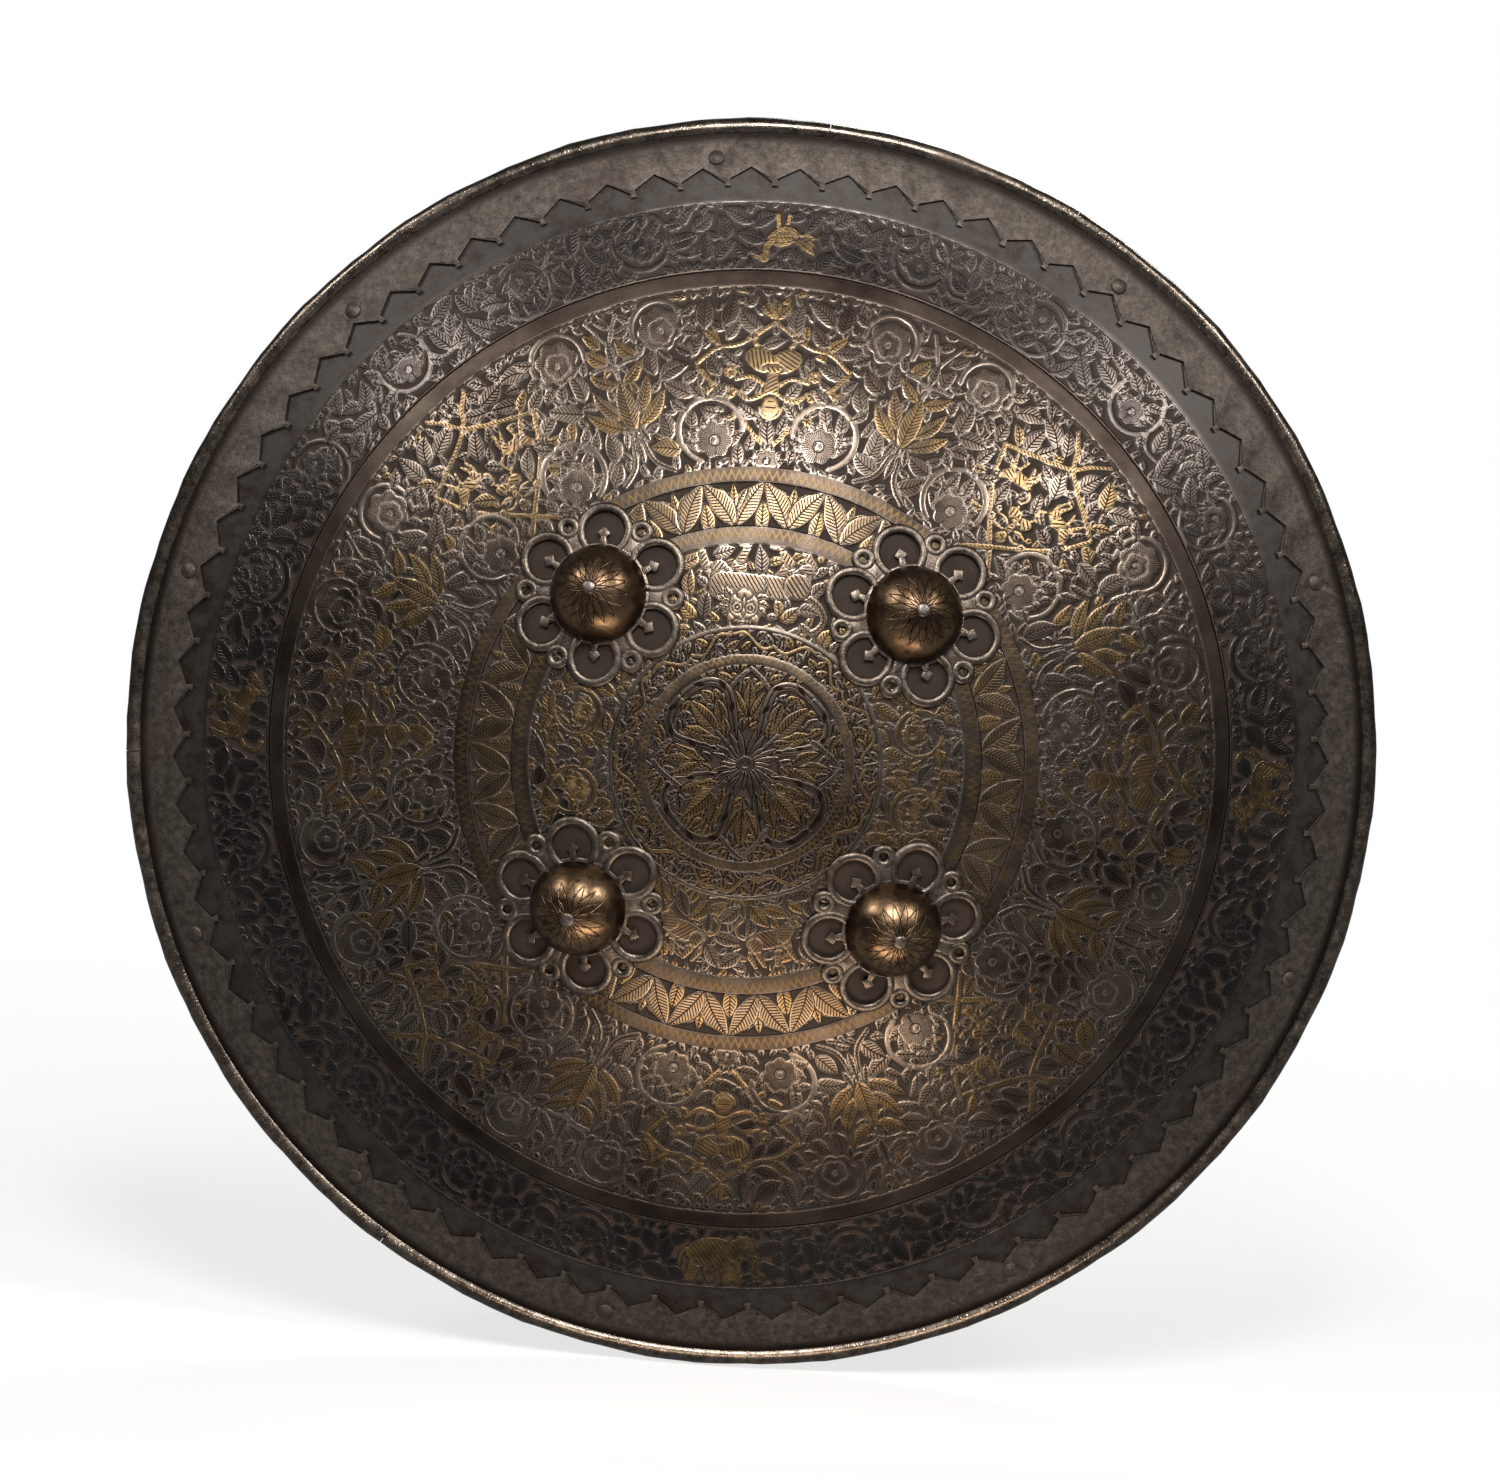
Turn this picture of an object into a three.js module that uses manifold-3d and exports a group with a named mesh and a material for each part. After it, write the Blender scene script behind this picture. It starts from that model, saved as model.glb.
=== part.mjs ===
// A dhal: a round, domed steel shield with a toothed border plate, a rolled rim,
// four bosses over pierced rosettes, and two padded handles hung on rings at the back.
// Millimetres. +Z is up, the decorated face looks along -Y, and the origin is where
// the hand closes on the two handles.
import * as THREE from 'three';
import { mergeVertices } from 'three/addons/utils/BufferGeometryUtils.js';
import Module from 'manifold-3d';

const wasm = await Module();
wasm.setup();

// Clearances
const seatGap = 0.3;
const holeClearance = 0.4;
const cutOverrun = 6;

// Bowl: one raised steel sheet with a flared brim
const bowlRadius = 232;
const bowlDepth = 82;
const bowlWall = 2;
const apexToHand = 50;
const bowlProfileShares = [
  [-0.173, 0.032], [0, 0], [0.173, 0.032], [0.354, 0.134], [0.523, 0.3],
  [0.683, 0.53], [0.834, 0.78], [1, 1],
];
const bowlRingShares = [0.09, 0.17, 0.235, 0.295, 0.35, 0.41, 0.52, 0.68, 0.88];
const bowlSides = 48;
const bowlCellDegrees = 360 / bowlSides;

// Chiselled relief: plain bands and the main flowers and figures stand above the fields' ground.
// Shares of the bowl's radius, and degrees that repeat with each eighth of the shield.
const reliefDepth = 0.5;
const bandEdgeShare = 0.0026;
const plainBandShares = [[0.3405, 0.3707], [0.438, 0.4655], [0.7388, 0.7759]];
const plainBrimShare = 0.875;
const fieldRingShares = [0.09, 0.17, 0.25, 0.573, 0.651];
const reliefRepeats = 8;
const reliefCells = [
  { from: 0.481, to: 0.56, half: 3, degrees: [8.2, 36.8] },
  { from: 0.584, to: 0.64, half: 2.4, degrees: [0, 22.5] },
  { from: 0.664, to: 0.722, half: 2.6, degrees: [15.4, 29.6] },
  { from: 0.79, to: 0.862, half: 2.8, degrees: [0, 15, 30] },
];
const slopeProbe = 0.3;
const weldSize = 0.001;
const drapePasses = 5;
const turn = 2 * Math.PI;

// Toothed border plate laid over the brim
const borderThickness = 1;
const toothCount = 75;
const borderWidth = 23;
const borderKnobDepth = 2.6;
const borderToothHeight = 7;
const borderToothRadius = bowlRadius - borderWidth;
const borderNotchRadius = borderToothRadius + borderToothHeight;
const toothKnobShare = 0.42;
const toothNeckShare = 0.26;

// Lining: cloth glued over the hollow side, short of the border plate
const liningMargin = 5;
const liningRadius = borderToothRadius - liningMargin;
const liningThickness = 1;

// Rolled rim: a strip folded over the edges of the bowl and the border plate
const rimSectionRadius = 3.6;
const rimWall = 1.4;
const rimEdgeSeat = 0.6;
const rimRearFlat = 0.4;
const rimLipGap = 0.45;
const rimSeamGap = 0.3;
const rimSeamDegrees = [3.6, 27.8, 212.8, 265.7];
const rimFrontSteps = 5;
const rimRearSteps = 2;
const rimInnerSteps = 5;

// Rivets through the border plate and the brim
const rivetHeadRadius = 3;
const rivetMargin = 0.5;
const rivetPitchRadius = borderNotchRadius + rivetHeadRadius + rivetMargin;
const rivetHeadHeight = 1.1;
const rivetShankRadius = 1.2;
const rivetTailRadius = 2;
const rivetTailHeight = 0.9;
const rivetDegrees = [353, 34.8, 69.8, 109.4, 149.7, 190.5, 218.7, 247.5, 283.7, 314];
const rivetSides = 7;

// Bosses
const bossPitchRadius = 81;
const domeRadius = 18;
const domeHeight = 15.5;
const domeWall = 1.3;
const domeSides = 16;
const domeSteps = 4;

// Pierced rosettes under the bosses
const rosetteThickness = 1.3;
const petalCount = 6;
const petalPitchRadius = 23.5;
const petalRadius = 10;
const petalFrame = 2;
const lobePitchRadius = 27.3;
const lobeRadius = 4.3;
const lobeHoleRadius = 1.8;
const tongueNeckHalfWidth = 1;
const tongueNeckEnd = 20;
const tongueHeadCentre = 22.3;
const tongueHeadHalfWidth = 2.25;
const tongueTip = 25.2;
const petalArcSteps = 5;
const lobeArcSteps = 2;
const windowArcSteps = 9;
const lobeHoleSteps = 3;
const stemHoleSides = 10;

// Eye bolts: stem peened over the dome, forged eye behind the bowl
const stemRadius = 2;
const peenRadius = 2.7;
const peenHeight = 1.3;
const shoulderRadius = 3;
const shoulderHeight = 1.4;
const eyeRadius = 7;
const eyeWireRadius = 1.5;
const eyeSides = 14;
const eyeWireSides = 6;
const stemSides = 8;

// Washers between the lining and the eyes
const washerRadius = 9;
const washerThickness = 1.5;
const washerSides = 14;

// Rings that join the handles to the eyes
const ringRadius = 10;
const ringWireRadius = 1.3;
const ringPlay = 0.5;
const ringSides = 18;
const ringWireSides = 6;
const ringLeanDegrees = 50;

// Padded handles, bowed away from the bowl
const handleBow = 50;
const handleRadius = 8;
const handleEndRadius = 3.6;
const handleLoopRadius = 4.2;
const handleLoopBore = 2;
const handleLoopWidth = 6;
const handleLeadIn = 20;
const handleMidReach = 20;
const handleRestDegrees = 25;
const handleFullnessPower = 0.6;
const handleSteps = 14;
const handleSides = 10;

// Knuckle pad: a square cushion on the lining between the eye bolts
const padHalfWidth = 43;
const padEdgeHeight = 5;
const padCrownHeight = 13;
const padDrawInShare = 0.07;
const padCornerShare = 0.06;
const padCells = 12;

const finish = {
  steel: { color: '#3a312e', roughness: 0.42, metalness: 0.9 },
  border: { color: '#3c3634', roughness: 0.5, metalness: 0.85 },
  rim: { color: '#4d4542', roughness: 0.32, metalness: 0.95 },
  boss: { color: '#6b5235', roughness: 0.3, metalness: 0.95 },
  rosette: { color: '#4d4542', roughness: 0.4, metalness: 0.9 },
  iron: { color: '#35302d', roughness: 0.5, metalness: 0.85 },
  leather: { color: '#3a2016', roughness: 0.6, metalness: 0 },
  velvet: { color: '#5b1a1c', roughness: 0.95, metalness: 0 },
  lining: { color: '#4a1b1d', roughness: 0.95, metalness: 0 },
};

const shield = new THREE.Group();

function radians(degrees) {
  return THREE.MathUtils.degToRad(degrees);
}

function material(name) {
  return new THREE.MeshStandardMaterial(finish[name]);
}

// Closed body helpers

function bare(geometry) {
  const clean = geometry.clone();
  clean.deleteAttribute('normal');
  clean.deleteAttribute('uv');
  const merged = mergeVertices(clean);
  const index = Array.from(merged.index.array);
  const kept = [];
  for (let first = 0; first < index.length; first += 3) {
    const [a, b, c] = index.slice(first, first + 3);
    if (a !== b && b !== c && c !== a) kept.push(a, b, c);
  }
  merged.setIndex(kept);
  return merged;
}

function signedVolume(geometry) {
  const place = geometry.attributes.position;
  const index = geometry.index;
  const corners = [new THREE.Vector3(), new THREE.Vector3(), new THREE.Vector3()];
  let total = 0;
  for (let first = 0; first < index.count; first += corners.length) {
    corners.forEach((corner, step) => corner.fromBufferAttribute(place, index.getX(first + step)));
    total += corners[0].dot(corners[1].clone().cross(corners[2]));
  }
  return total;
}

function flipped(geometry) {
  const turned = geometry.clone();
  const index = Array.from(turned.index.array);
  for (let first = 0; first < index.length; first += 3) {
    [index[first + 1], index[first + 2]] = [index[first + 2], index[first + 1]];
  }
  turned.setIndex(index);
  return turned;
}

function outward(geometry) {
  const clean = bare(geometry);
  return signedVolume(clean) < 0 ? flipped(clean) : clean;
}

function toSolid(geometry) {
  const clean = outward(geometry);
  return new wasm.Manifold(new wasm.Mesh({
    numProp: 3,
    vertProperties: new Float32Array(clean.attributes.position.array),
    triVerts: new Uint32Array(clean.index.array),
  }));
}

function fromSolid(solid) {
  const mesh = solid.getMesh();
  const geometry = new THREE.BufferGeometry();
  geometry.setAttribute('position', new THREE.BufferAttribute(mesh.vertProperties, 3));
  geometry.setIndex(Array.from(mesh.triVerts));
  return geometry;
}

function cut(geometry, tools) {
  return fromSolid(tools.reduce((solid, tool) => solid.subtract(toSolid(tool)), toSolid(geometry)));
}

function join(geometry, others) {
  return fromSolid(others.reduce((solid, other) => solid.add(toSolid(other)), toSolid(geometry)));
}

function lathe(points, sides) {
  return outward(new THREE.LatheGeometry(points, sides));
}

function addMesh(name, geometry, look) {
  const mesh = new THREE.Mesh(outward(geometry), material(look));
  mesh.geometry.computeVertexNormals();
  mesh.name = name;
  shield.add(mesh);
}

// The bowl's outer surface: radius in, distance along +Y out

const bowlCurve = new THREE.SplineCurve(
  bowlProfileShares.map(([across, deep]) => new THREE.Vector2(across * bowlRadius, deep * bowlDepth)),
);
const bowlSamples = bowlCurve.getPoints(bowlProfileShares.length * bowlSides)
  .filter((point) => point.x >= 0);

function bowlY(radius) {
  const beyond = bowlSamples.findIndex((point) => point.x > radius);
  const next = beyond < 0 ? bowlSamples.length - 1 : Math.max(beyond, 1);
  const after = bowlSamples[next];
  const before = bowlSamples[next - 1];
  const share = (radius - before.x) / (after.x - before.x);
  return THREE.MathUtils.lerp(before.y, after.y, share) - apexToHand;
}

// Unit vectors at a radius: along the slope, and out of the decorated face
function bowlAxes(radius) {
  const rise = bowlY(radius + slopeProbe) - bowlY(radius - slopeProbe);
  const along = new THREE.Vector2(2 * slopeProbe, rise).normalize();
  return { along, out: new THREE.Vector2(along.y, -along.x) };
}

function bowlPoint(radius, offset) {
  const { out } = bowlAxes(Math.max(radius, slopeProbe));
  const point = new THREE.Vector2(radius, bowlY(radius));
  return radius === 0 ? point.sub(new THREE.Vector2(0, offset)) : point.addScaledVector(out, offset);
}

// Point of the bowl's skin at an angle, clockwise from the top
function skinPoint(radius, offset, degrees) {
  const point = bowlPoint(radius, offset);
  const around = radians(degrees);
  return new THREE.Vector3(point.x * Math.sin(around), point.y, point.x * Math.cos(around));
}

// Radii and offset of one side of the skin, from the axis to its edge
function evenLine(edgeRadius, offset) {
  const rings = bowlRingShares.map((share) => share * bowlRadius)
    .filter((radius) => radius < edgeRadius - cutOverrun);
  return [0, ...rings, edgeRadius].map((radius) => ({ radius, offset }));
}

// Radii and offset of the decorated face, with its fields cut back between the plain bands
function chiselledLine() {
  const bands = [...plainBandShares, [plainBrimShare, 1 + bandEdgeShare]];
  const raised = bands.flat().map((share) => ({ share, offset: 0 }));
  const feet = bands.flatMap(([from, to]) => [from - bandEdgeShare, to + bandEdgeShare]);
  const ground = [0, ...fieldRingShares, ...feet].map((share) => ({ share, offset: -reliefDepth }));
  const line = [...raised, ...ground].filter(({ share }) => share < 1)
    .sort((first, second) => first.share - second.share);
  return [...line, { share: 1, offset: 0 }]
    .map(({ share, offset }) => ({ radius: share * bowlRadius, offset }));
}

// A skin round the axis between two lines; a cell that holds a raised patch is cut round it
function skinBetween(outerLine, innerLine, patches) {
  const line = [...outerLine, ...[...innerLine].reverse()];
  const places = [];
  const index = [];
  const addPoint = (radius, offset, degrees) => {
    places.push(...skinPoint(radius, offset, degrees).toArray());
    return places.length / 3 - 1;
  };
  const columns = Array.from({ length: bowlSides + 1 }, (_, side) => (
    line.map(({ radius, offset }) => addPoint(radius, offset, (side + 0.5) * bowlCellDegrees))
  ));
  const addCell = (corners) => {
    const [a, b, c, d] = corners;
    index.push(a, b, d, c, d, b);
  };
  for (let side = 0; side < bowlSides; side += 1) {
    for (let step = 0; step < line.length - 1; step += 1) {
      const ring = [
        columns[side][step], columns[side + 1][step],
        columns[side + 1][step + 1], columns[side][step + 1],
      ];
      const middle = (side + 1) * bowlCellDegrees;
      const patch = step < outerLine.length - 1 && patches.find(({ degrees, from, to }) => (
        Math.abs(degrees - middle) < bowlCellDegrees / 2
        && from > line[step].radius && to < line[step + 1].radius
      ));
      if (patch) {
        const { degrees, from, to, half } = patch;
        const top = [[from, -half], [from, half], [to, half], [to, -half]]
          .map(([radius, aside]) => addPoint(radius, 0, degrees + aside));
        ring.forEach((corner, number) => {
          const next = (number + 1) % ring.length;
          addCell([corner, ring[next], top[next], top[number]]);
        });
        addCell(top);
      } else {
        addCell(ring);
      }
    }
  }
  const geometry = new THREE.BufferGeometry();
  geometry.setAttribute('position', new THREE.Float32BufferAttribute(places, 3));
  geometry.setIndex(index);
  return outward(geometry);
}

// A skin that follows the bowl between two offsets, from the axis to an edge radius
function bowlSkin(edgeRadius, outerOffset, innerOffset) {
  return skinBetween(evenLine(edgeRadius, outerOffset), evenLine(edgeRadius, innerOffset), []);
}

// The raised flowers and figures, each once in every eighth of the shield
function reliefPatches() {
  const eighths = Array.from({ length: reliefRepeats }, (_, number) => 360 / reliefRepeats * number);
  return reliefCells.flatMap(({ from, to, half, degrees }) => (
    eighths.flatMap((start) => degrees.map((place) => ({
      from: from * bowlRadius, to: to * bowlRadius, half, degrees: start + place || 360,
    })))
  ));
}

// Place of a piece on the bowl: local +Y leaves the decorated face
function seatMatrix(radius, degrees) {
  const { along, out } = bowlAxes(radius);
  const around = radians(degrees);
  const radial = new THREE.Vector3(Math.sin(around), 0, Math.cos(around));
  const back = new THREE.Vector3(0, 1, 0);
  const yAxis = radial.clone().multiplyScalar(out.x).addScaledVector(back, out.y);
  const zAxis = radial.clone().multiplyScalar(along.x).addScaledVector(back, along.y);
  const xAxis = new THREE.Vector3().crossVectors(yAxis, zAxis);
  const origin = radial.clone().multiplyScalar(radius).addScaledVector(back, bowlY(radius));
  return new THREE.Matrix4().makeBasis(xAxis, yAxis, zAxis).setPosition(origin);
}

// Bends a flat piece, built about local +Y, so that it follows the bowl
function drape(geometry, matrix) {
  const bent = bare(geometry);
  const place = bent.attributes.position;
  const out = new THREE.Vector3().setFromMatrixColumn(matrix, 1);
  for (let corner = 0; corner < place.count; corner += 1) {
    const height = place.getY(corner);
    const point = new THREE.Vector3(place.getX(corner), 0, place.getZ(corner)).applyMatrix4(matrix);
    for (let pass = 0; pass < drapePasses; pass += 1) {
      const below = point.y - bowlY(Math.hypot(point.x, point.z));
      point.addScaledVector(out, below);
    }
    point.addScaledVector(out, height);
    place.setXYZ(corner, point.x, point.y, point.z);
  }
  return bent;
}

// Main shell

const stemHoleRadius = stemRadius + holeClearance;
const rivetHoleRadius = rivetShankRadius + holeClearance;
const liningTop = bowlWall + seatGap;
const washerTop = liningTop + liningThickness + seatGap;
const shoulderTop = washerTop + washerThickness + seatGap;
const eyeReach = shoulderTop + shoulderHeight + eyeRadius;
const bossPlaces = [
  { name: 'top_right', degrees: 45, petalDegrees: 32 },
  { name: 'bottom_right', degrees: 135, petalDegrees: 28 },
  { name: 'bottom_left', degrees: 225, petalDegrees: 25 },
  { name: 'top_left', degrees: 315, petalDegrees: 47 },
];

function seatedCylinder(radius, halfLength, sides, matrix) {
  return new THREE.CylinderGeometry(radius, radius, 2 * halfLength, sides).applyMatrix4(matrix);
}

function stemHoles() {
  return bossPlaces.map(({ degrees }) => (
    seatedCylinder(stemHoleRadius, cutOverrun, stemHoleSides, seatMatrix(bossPitchRadius, degrees))
  ));
}

function rivetHoles() {
  return rivetDegrees.map((degrees) => (
    seatedCylinder(rivetHoleRadius, cutOverrun, rivetSides, seatMatrix(rivetPitchRadius, degrees))
  ));
}

function makeBowl() {
  const skin = skinBetween(chiselledLine(), evenLine(bowlRadius, -bowlWall), reliefPatches());
  addMesh('shield_bowl', cut(skin, [...stemHoles(), ...rivetHoles()]), 'steel');
}

function makeLining() {
  const skin = bowlSkin(liningRadius, -liningTop, -liningTop - liningThickness);
  addMesh('shield_lining', cut(skin, stemHoles()), 'lining');
}

// A flat plate of equal sectors round the middle, each drawn from -half to +half of its pitch
function snapped(value) {
  return Math.round(value / weldSize) * weldSize;
}

function wound(contour, clockwise) {
  const points = [...contour];
  return THREE.ShapeUtils.isClockWise(points) === clockwise ? points : points.reverse();
}

function patternedPlate(outline, windows, copies, thickness) {
  const contours = [wound(outline, false), ...windows.map((window) => wound(window, true))];
  const points = contours.flat();
  const faces = THREE.ShapeUtils.triangulateShape(contours[0], contours.slice(1)).map((face) => {
    const [a, b, c] = face.map((corner) => points[corner]);
    return b.clone().sub(a).cross(c.clone().sub(a)) > 0 ? face : [...face].reverse();
  });
  const halfPitch = turn / copies / 2;
  const onRay = (point, side) => (
    Math.abs(Math.atan2(point.y, point.x) - side * halfPitch) * point.length() < weldSize
  );
  const walls = [];
  let first = 0;
  contours.forEach((contour) => {
    contour.forEach((point, step) => {
      const nextStep = (step + 1) % contour.length;
      const shared = [-1, 1].some((side) => onRay(point, side) && onRay(contour[nextStep], side));
      if (!shared) walls.push([first + step, first + nextStep]);
    });
    first += contour.length;
  });
  const corners = [];
  const index = [];
  for (let copy = 0; copy < copies; copy += 1) {
    const bottom = corners.length / 3;
    const top = bottom + points.length;
    turned(points, copy * turn / copies).forEach(({ x, y }) => corners.push(snapped(x), snapped(y), 0));
    turned(points, copy * turn / copies).forEach(({ x, y }) => (
      corners.push(snapped(x), snapped(y), thickness)
    ));
    faces.forEach(([a, b, c]) => index.push(top + a, top + b, top + c, bottom + c, bottom + b, bottom + a));
    walls.forEach(([a, b]) => index.push(top + b, top + a, bottom + a, top + b, bottom + a, bottom + b));
  }
  const plate = new THREE.BufferGeometry();
  plate.setAttribute('position', new THREE.Float32BufferAttribute(corners, 3));
  plate.setIndex(index);
  return bare(plate);
}

// Toothed border plate: cut flat as seen from the front, then laid on the brim
function polar(radius, angle) {
  return new THREE.Vector2(radius * Math.cos(angle), radius * Math.sin(angle));
}

function toothOutline() {
  const pitch = turn / toothCount;
  const knobRadius = borderToothRadius + borderKnobDepth;
  return [
    polar(bowlRadius, -pitch / 2),
    polar(bowlRadius, pitch / 2),
    polar(borderNotchRadius, pitch / 2),
    polar(knobRadius, pitch * toothNeckShare / 2),
    polar(borderToothRadius, pitch * toothKnobShare / 2),
    polar(borderToothRadius, -pitch * toothKnobShare / 2),
    polar(knobRadius, -pitch * toothNeckShare / 2),
    polar(borderNotchRadius, -pitch / 2),
  ];
}

function makeBorder() {
  const plate = patternedPlate(toothOutline(), [], toothCount, borderThickness);
  const place = plate.attributes.position;
  for (let corner = 0; corner < place.count; corner += 1) {
    const across = place.getX(corner);
    const up = place.getY(corner);
    const radius = Math.hypot(across, up);
    const point = bowlPoint(radius, seatGap + place.getZ(corner));
    place.setXYZ(corner, across * point.x / radius, point.y, up * point.x / radius);
  }
  addMesh('border_plate', cut(plate, rivetHoles()), 'border');
}

// Rolled rim, in the lengths that its seams show
const stackMiddle = (seatGap + borderThickness - bowlWall) / 2;
const stackHalf = (seatGap + borderThickness + bowlWall) / 2;
const edgeAxes = bowlAxes(bowlRadius);
const rimCentre = bowlPoint(bowlRadius, stackMiddle).addScaledVector(edgeAxes.along, -rimEdgeSeat);

// The section runs round the fold, with a flat where the shield is set down on its rim
function rimSection() {
  const lip = stackHalf + rimLipGap;
  const innerRadius = rimSectionRadius - rimWall;
  const outerSweep = Math.PI - Math.asin(lip / rimSectionRadius);
  const innerSweep = Math.PI - Math.asin(lip / innerRadius);
  const rear = Math.atan2(edgeAxes.out.y, edgeAxes.along.y);
  const flatHalf = Math.acos((rimSectionRadius - rimRearFlat) / rimSectionRadius);
  const arc = (radius, from, to, steps) => Array.from({ length: steps + 1 }, (_, step) => {
    const angle = THREE.MathUtils.lerp(from, to, step / steps);
    const along = radius * Math.cos(angle);
    const out = radius * Math.sin(angle);
    return rimCentre.clone().addScaledVector(edgeAxes.along, along).addScaledVector(edgeAxes.out, out);
  });
  return [
    ...arc(rimSectionRadius, outerSweep, rear + flatHalf, rimFrontSteps),
    ...arc(rimSectionRadius, rear - flatHalf, -outerSweep, rimRearSteps),
    ...arc(innerRadius, -innerSweep, innerSweep, rimInnerSteps),
  ];
}

// A ring sector with a flat end at each seam
function sector(section, sides, from, length) {
  const ring = new THREE.LatheGeometry([...section, section[0]], sides, from, length);
  const caps = THREE.ShapeUtils.triangulateShape(section, []).map((face) => {
    const [a, b, c] = face.map((corner) => section[corner]);
    return b.clone().sub(a).cross(c.clone().sub(a)) > 0 ? face : [...face].reverse();
  });
  const wallsOut = signedVolume(bare(ring)) > 0;
  const walls = wallsOut ? ring : flipped(ring);
  const last = sides * (section.length + 1);
  const startCap = caps.flat();
  const endCap = caps.flatMap(([a, b, c]) => [c, b, a]).map((corner) => corner + last);
  walls.setIndex([...walls.index.array, ...startCap, ...endCap]);
  return walls;
}

function makeRim() {
  const section = rimSection();
  const seamAngle = rimSeamGap / (bowlRadius + rimSectionRadius);
  rimSeamDegrees.forEach((seam, number) => {
    const nextSeam = rimSeamDegrees[(number + 1) % rimSeamDegrees.length];
    const from = radians(seam) + seamAngle / 2;
    const length = ((radians(nextSeam - seam) + turn) % turn) - seamAngle;
    const sides = Math.ceil(length * bowlSides / turn);
    addMesh(`rim_binding_${number + 1}`, sector(section, sides, from, length), 'rim');
  });
}

// Rivets

function makeRivets() {
  const headSeat = 2 * seatGap + borderThickness;
  const tailSeat = -bowlWall - seatGap;
  const profile = [
    [0, headSeat + rivetHeadHeight],
    [rivetHeadRadius * Math.SQRT1_2, headSeat + rivetHeadHeight * Math.SQRT1_2],
    [rivetHeadRadius, headSeat],
    [rivetShankRadius, headSeat],
    [rivetShankRadius, tailSeat],
    [rivetTailRadius, tailSeat],
    [rivetTailRadius * Math.SQRT1_2, tailSeat - rivetTailHeight],
    [0, tailSeat - rivetTailHeight],
  ].map(([radius, height]) => new THREE.Vector2(radius, height));
  rivetDegrees.forEach((degrees, number) => {
    const rivet = lathe(profile, rivetSides).applyMatrix4(seatMatrix(rivetPitchRadius, degrees));
    addMesh(`border_rivet_${String(number + 1).padStart(2, '0')}`, rivet, 'border');
  });
}

// Rosettes

function arcPoints(centre, radius, from, to, steps) {
  return Array.from({ length: steps + 1 }, (_, step) => {
    const angle = THREE.MathUtils.lerp(from, to, step / steps);
    return new THREE.Vector2(Math.cos(angle), Math.sin(angle)).multiplyScalar(radius).add(centre);
  });
}

function turned(points, angle) {
  const middle = new THREE.Vector2();
  return points.map((point) => point.clone().rotateAround(middle, angle));
}

// One sector of the rosette: a petal, and half of the small pierced lobe on each side of it
function petalSector() {
  const halfPitch = turn / petalCount / 2;
  const petalCentre = new THREE.Vector2(petalPitchRadius, 0);
  const lobeCentre = polar(lobePitchRadius, halfPitch);
  const apart = lobeCentre.clone().sub(petalCentre);
  const distance = apart.length();
  const toCrossing = (distance ** 2 + petalRadius ** 2 - lobeRadius ** 2) / (2 * distance);
  const petalSweep = apart.angle() - Math.acos(toCrossing / petalRadius);
  const lobeStart = apart.angle() - Math.PI + Math.acos((distance - toCrossing) / lobeRadius);
  const upper = [
    ...arcPoints(lobeCentre, lobeRadius, lobeStart, halfPitch, lobeArcSteps).slice(1),
    ...arcPoints(lobeCentre, lobeHoleRadius, halfPitch, halfPitch - Math.PI, lobeHoleSteps),
    polar(stemHoleRadius, halfPitch),
  ];
  const lower = upper.map((point) => new THREE.Vector2(point.x, -point.y)).reverse();
  return [
    ...arcPoints(petalCentre, petalRadius, -petalSweep, petalSweep, petalArcSteps),
    ...upper,
    polar(stemHoleRadius, 0),
    ...lower,
  ];
}

// The opening inside a petal, with the lozenge-headed tongue that reaches into it
function petalWindow() {
  const centre = new THREE.Vector2(petalPitchRadius, 0);
  const radius = petalRadius - petalFrame;
  const neckTurn = Math.asin(tongueNeckHalfWidth / radius);
  return [
    ...arcPoints(centre, radius, Math.PI - neckTurn, neckTurn - Math.PI, windowArcSteps),
    new THREE.Vector2(tongueNeckEnd, -tongueNeckHalfWidth),
    new THREE.Vector2(tongueHeadCentre, -tongueHeadHalfWidth),
    new THREE.Vector2(tongueTip, 0),
    new THREE.Vector2(tongueHeadCentre, tongueHeadHalfWidth),
    new THREE.Vector2(tongueNeckEnd, tongueNeckHalfWidth),
  ];
}

function makeRosette(name, petalDegrees, matrix) {
  const plate = patternedPlate(petalSector(), [petalWindow()], petalCount, rosetteThickness);
  plate.rotateZ(radians(petalDegrees)).rotateX(-Math.PI / 2).translate(0, seatGap, 0);
  addMesh(`${name}_rosette`, drape(plate, matrix), 'rosette');
}

// Domes

const domeSeat = 2 * seatGap + rosetteThickness;

function capArc(edgeRadius, height, holeRadius, steps) {
  const sphere = (edgeRadius ** 2 + height ** 2) / (2 * height);
  const fullTurn = Math.acos((sphere - height) / sphere);
  const holeTurn = Math.asin(holeRadius / sphere);
  return Array.from({ length: steps + 1 }, (_, step) => {
    const angle = THREE.MathUtils.lerp(holeTurn, fullTurn, step / steps);
    return new THREE.Vector2(sphere * Math.sin(angle), sphere * Math.cos(angle) - sphere + height);
  });
}

function makeDome(name, matrix) {
  const lift = new THREE.Vector2(0, domeSeat);
  const outer = capArc(domeRadius, domeHeight, stemHoleRadius, domeSteps);
  const inner = capArc(domeRadius - domeWall, domeHeight - domeWall, stemHoleRadius, domeSteps);
  const profile = [...outer, ...inner.reverse(), outer[0]].map((point) => point.clone().add(lift));
  addMesh(`${name}_boss`, drape(lathe(profile, domeSides), matrix), 'boss');
}

// Eye bolts

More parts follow.
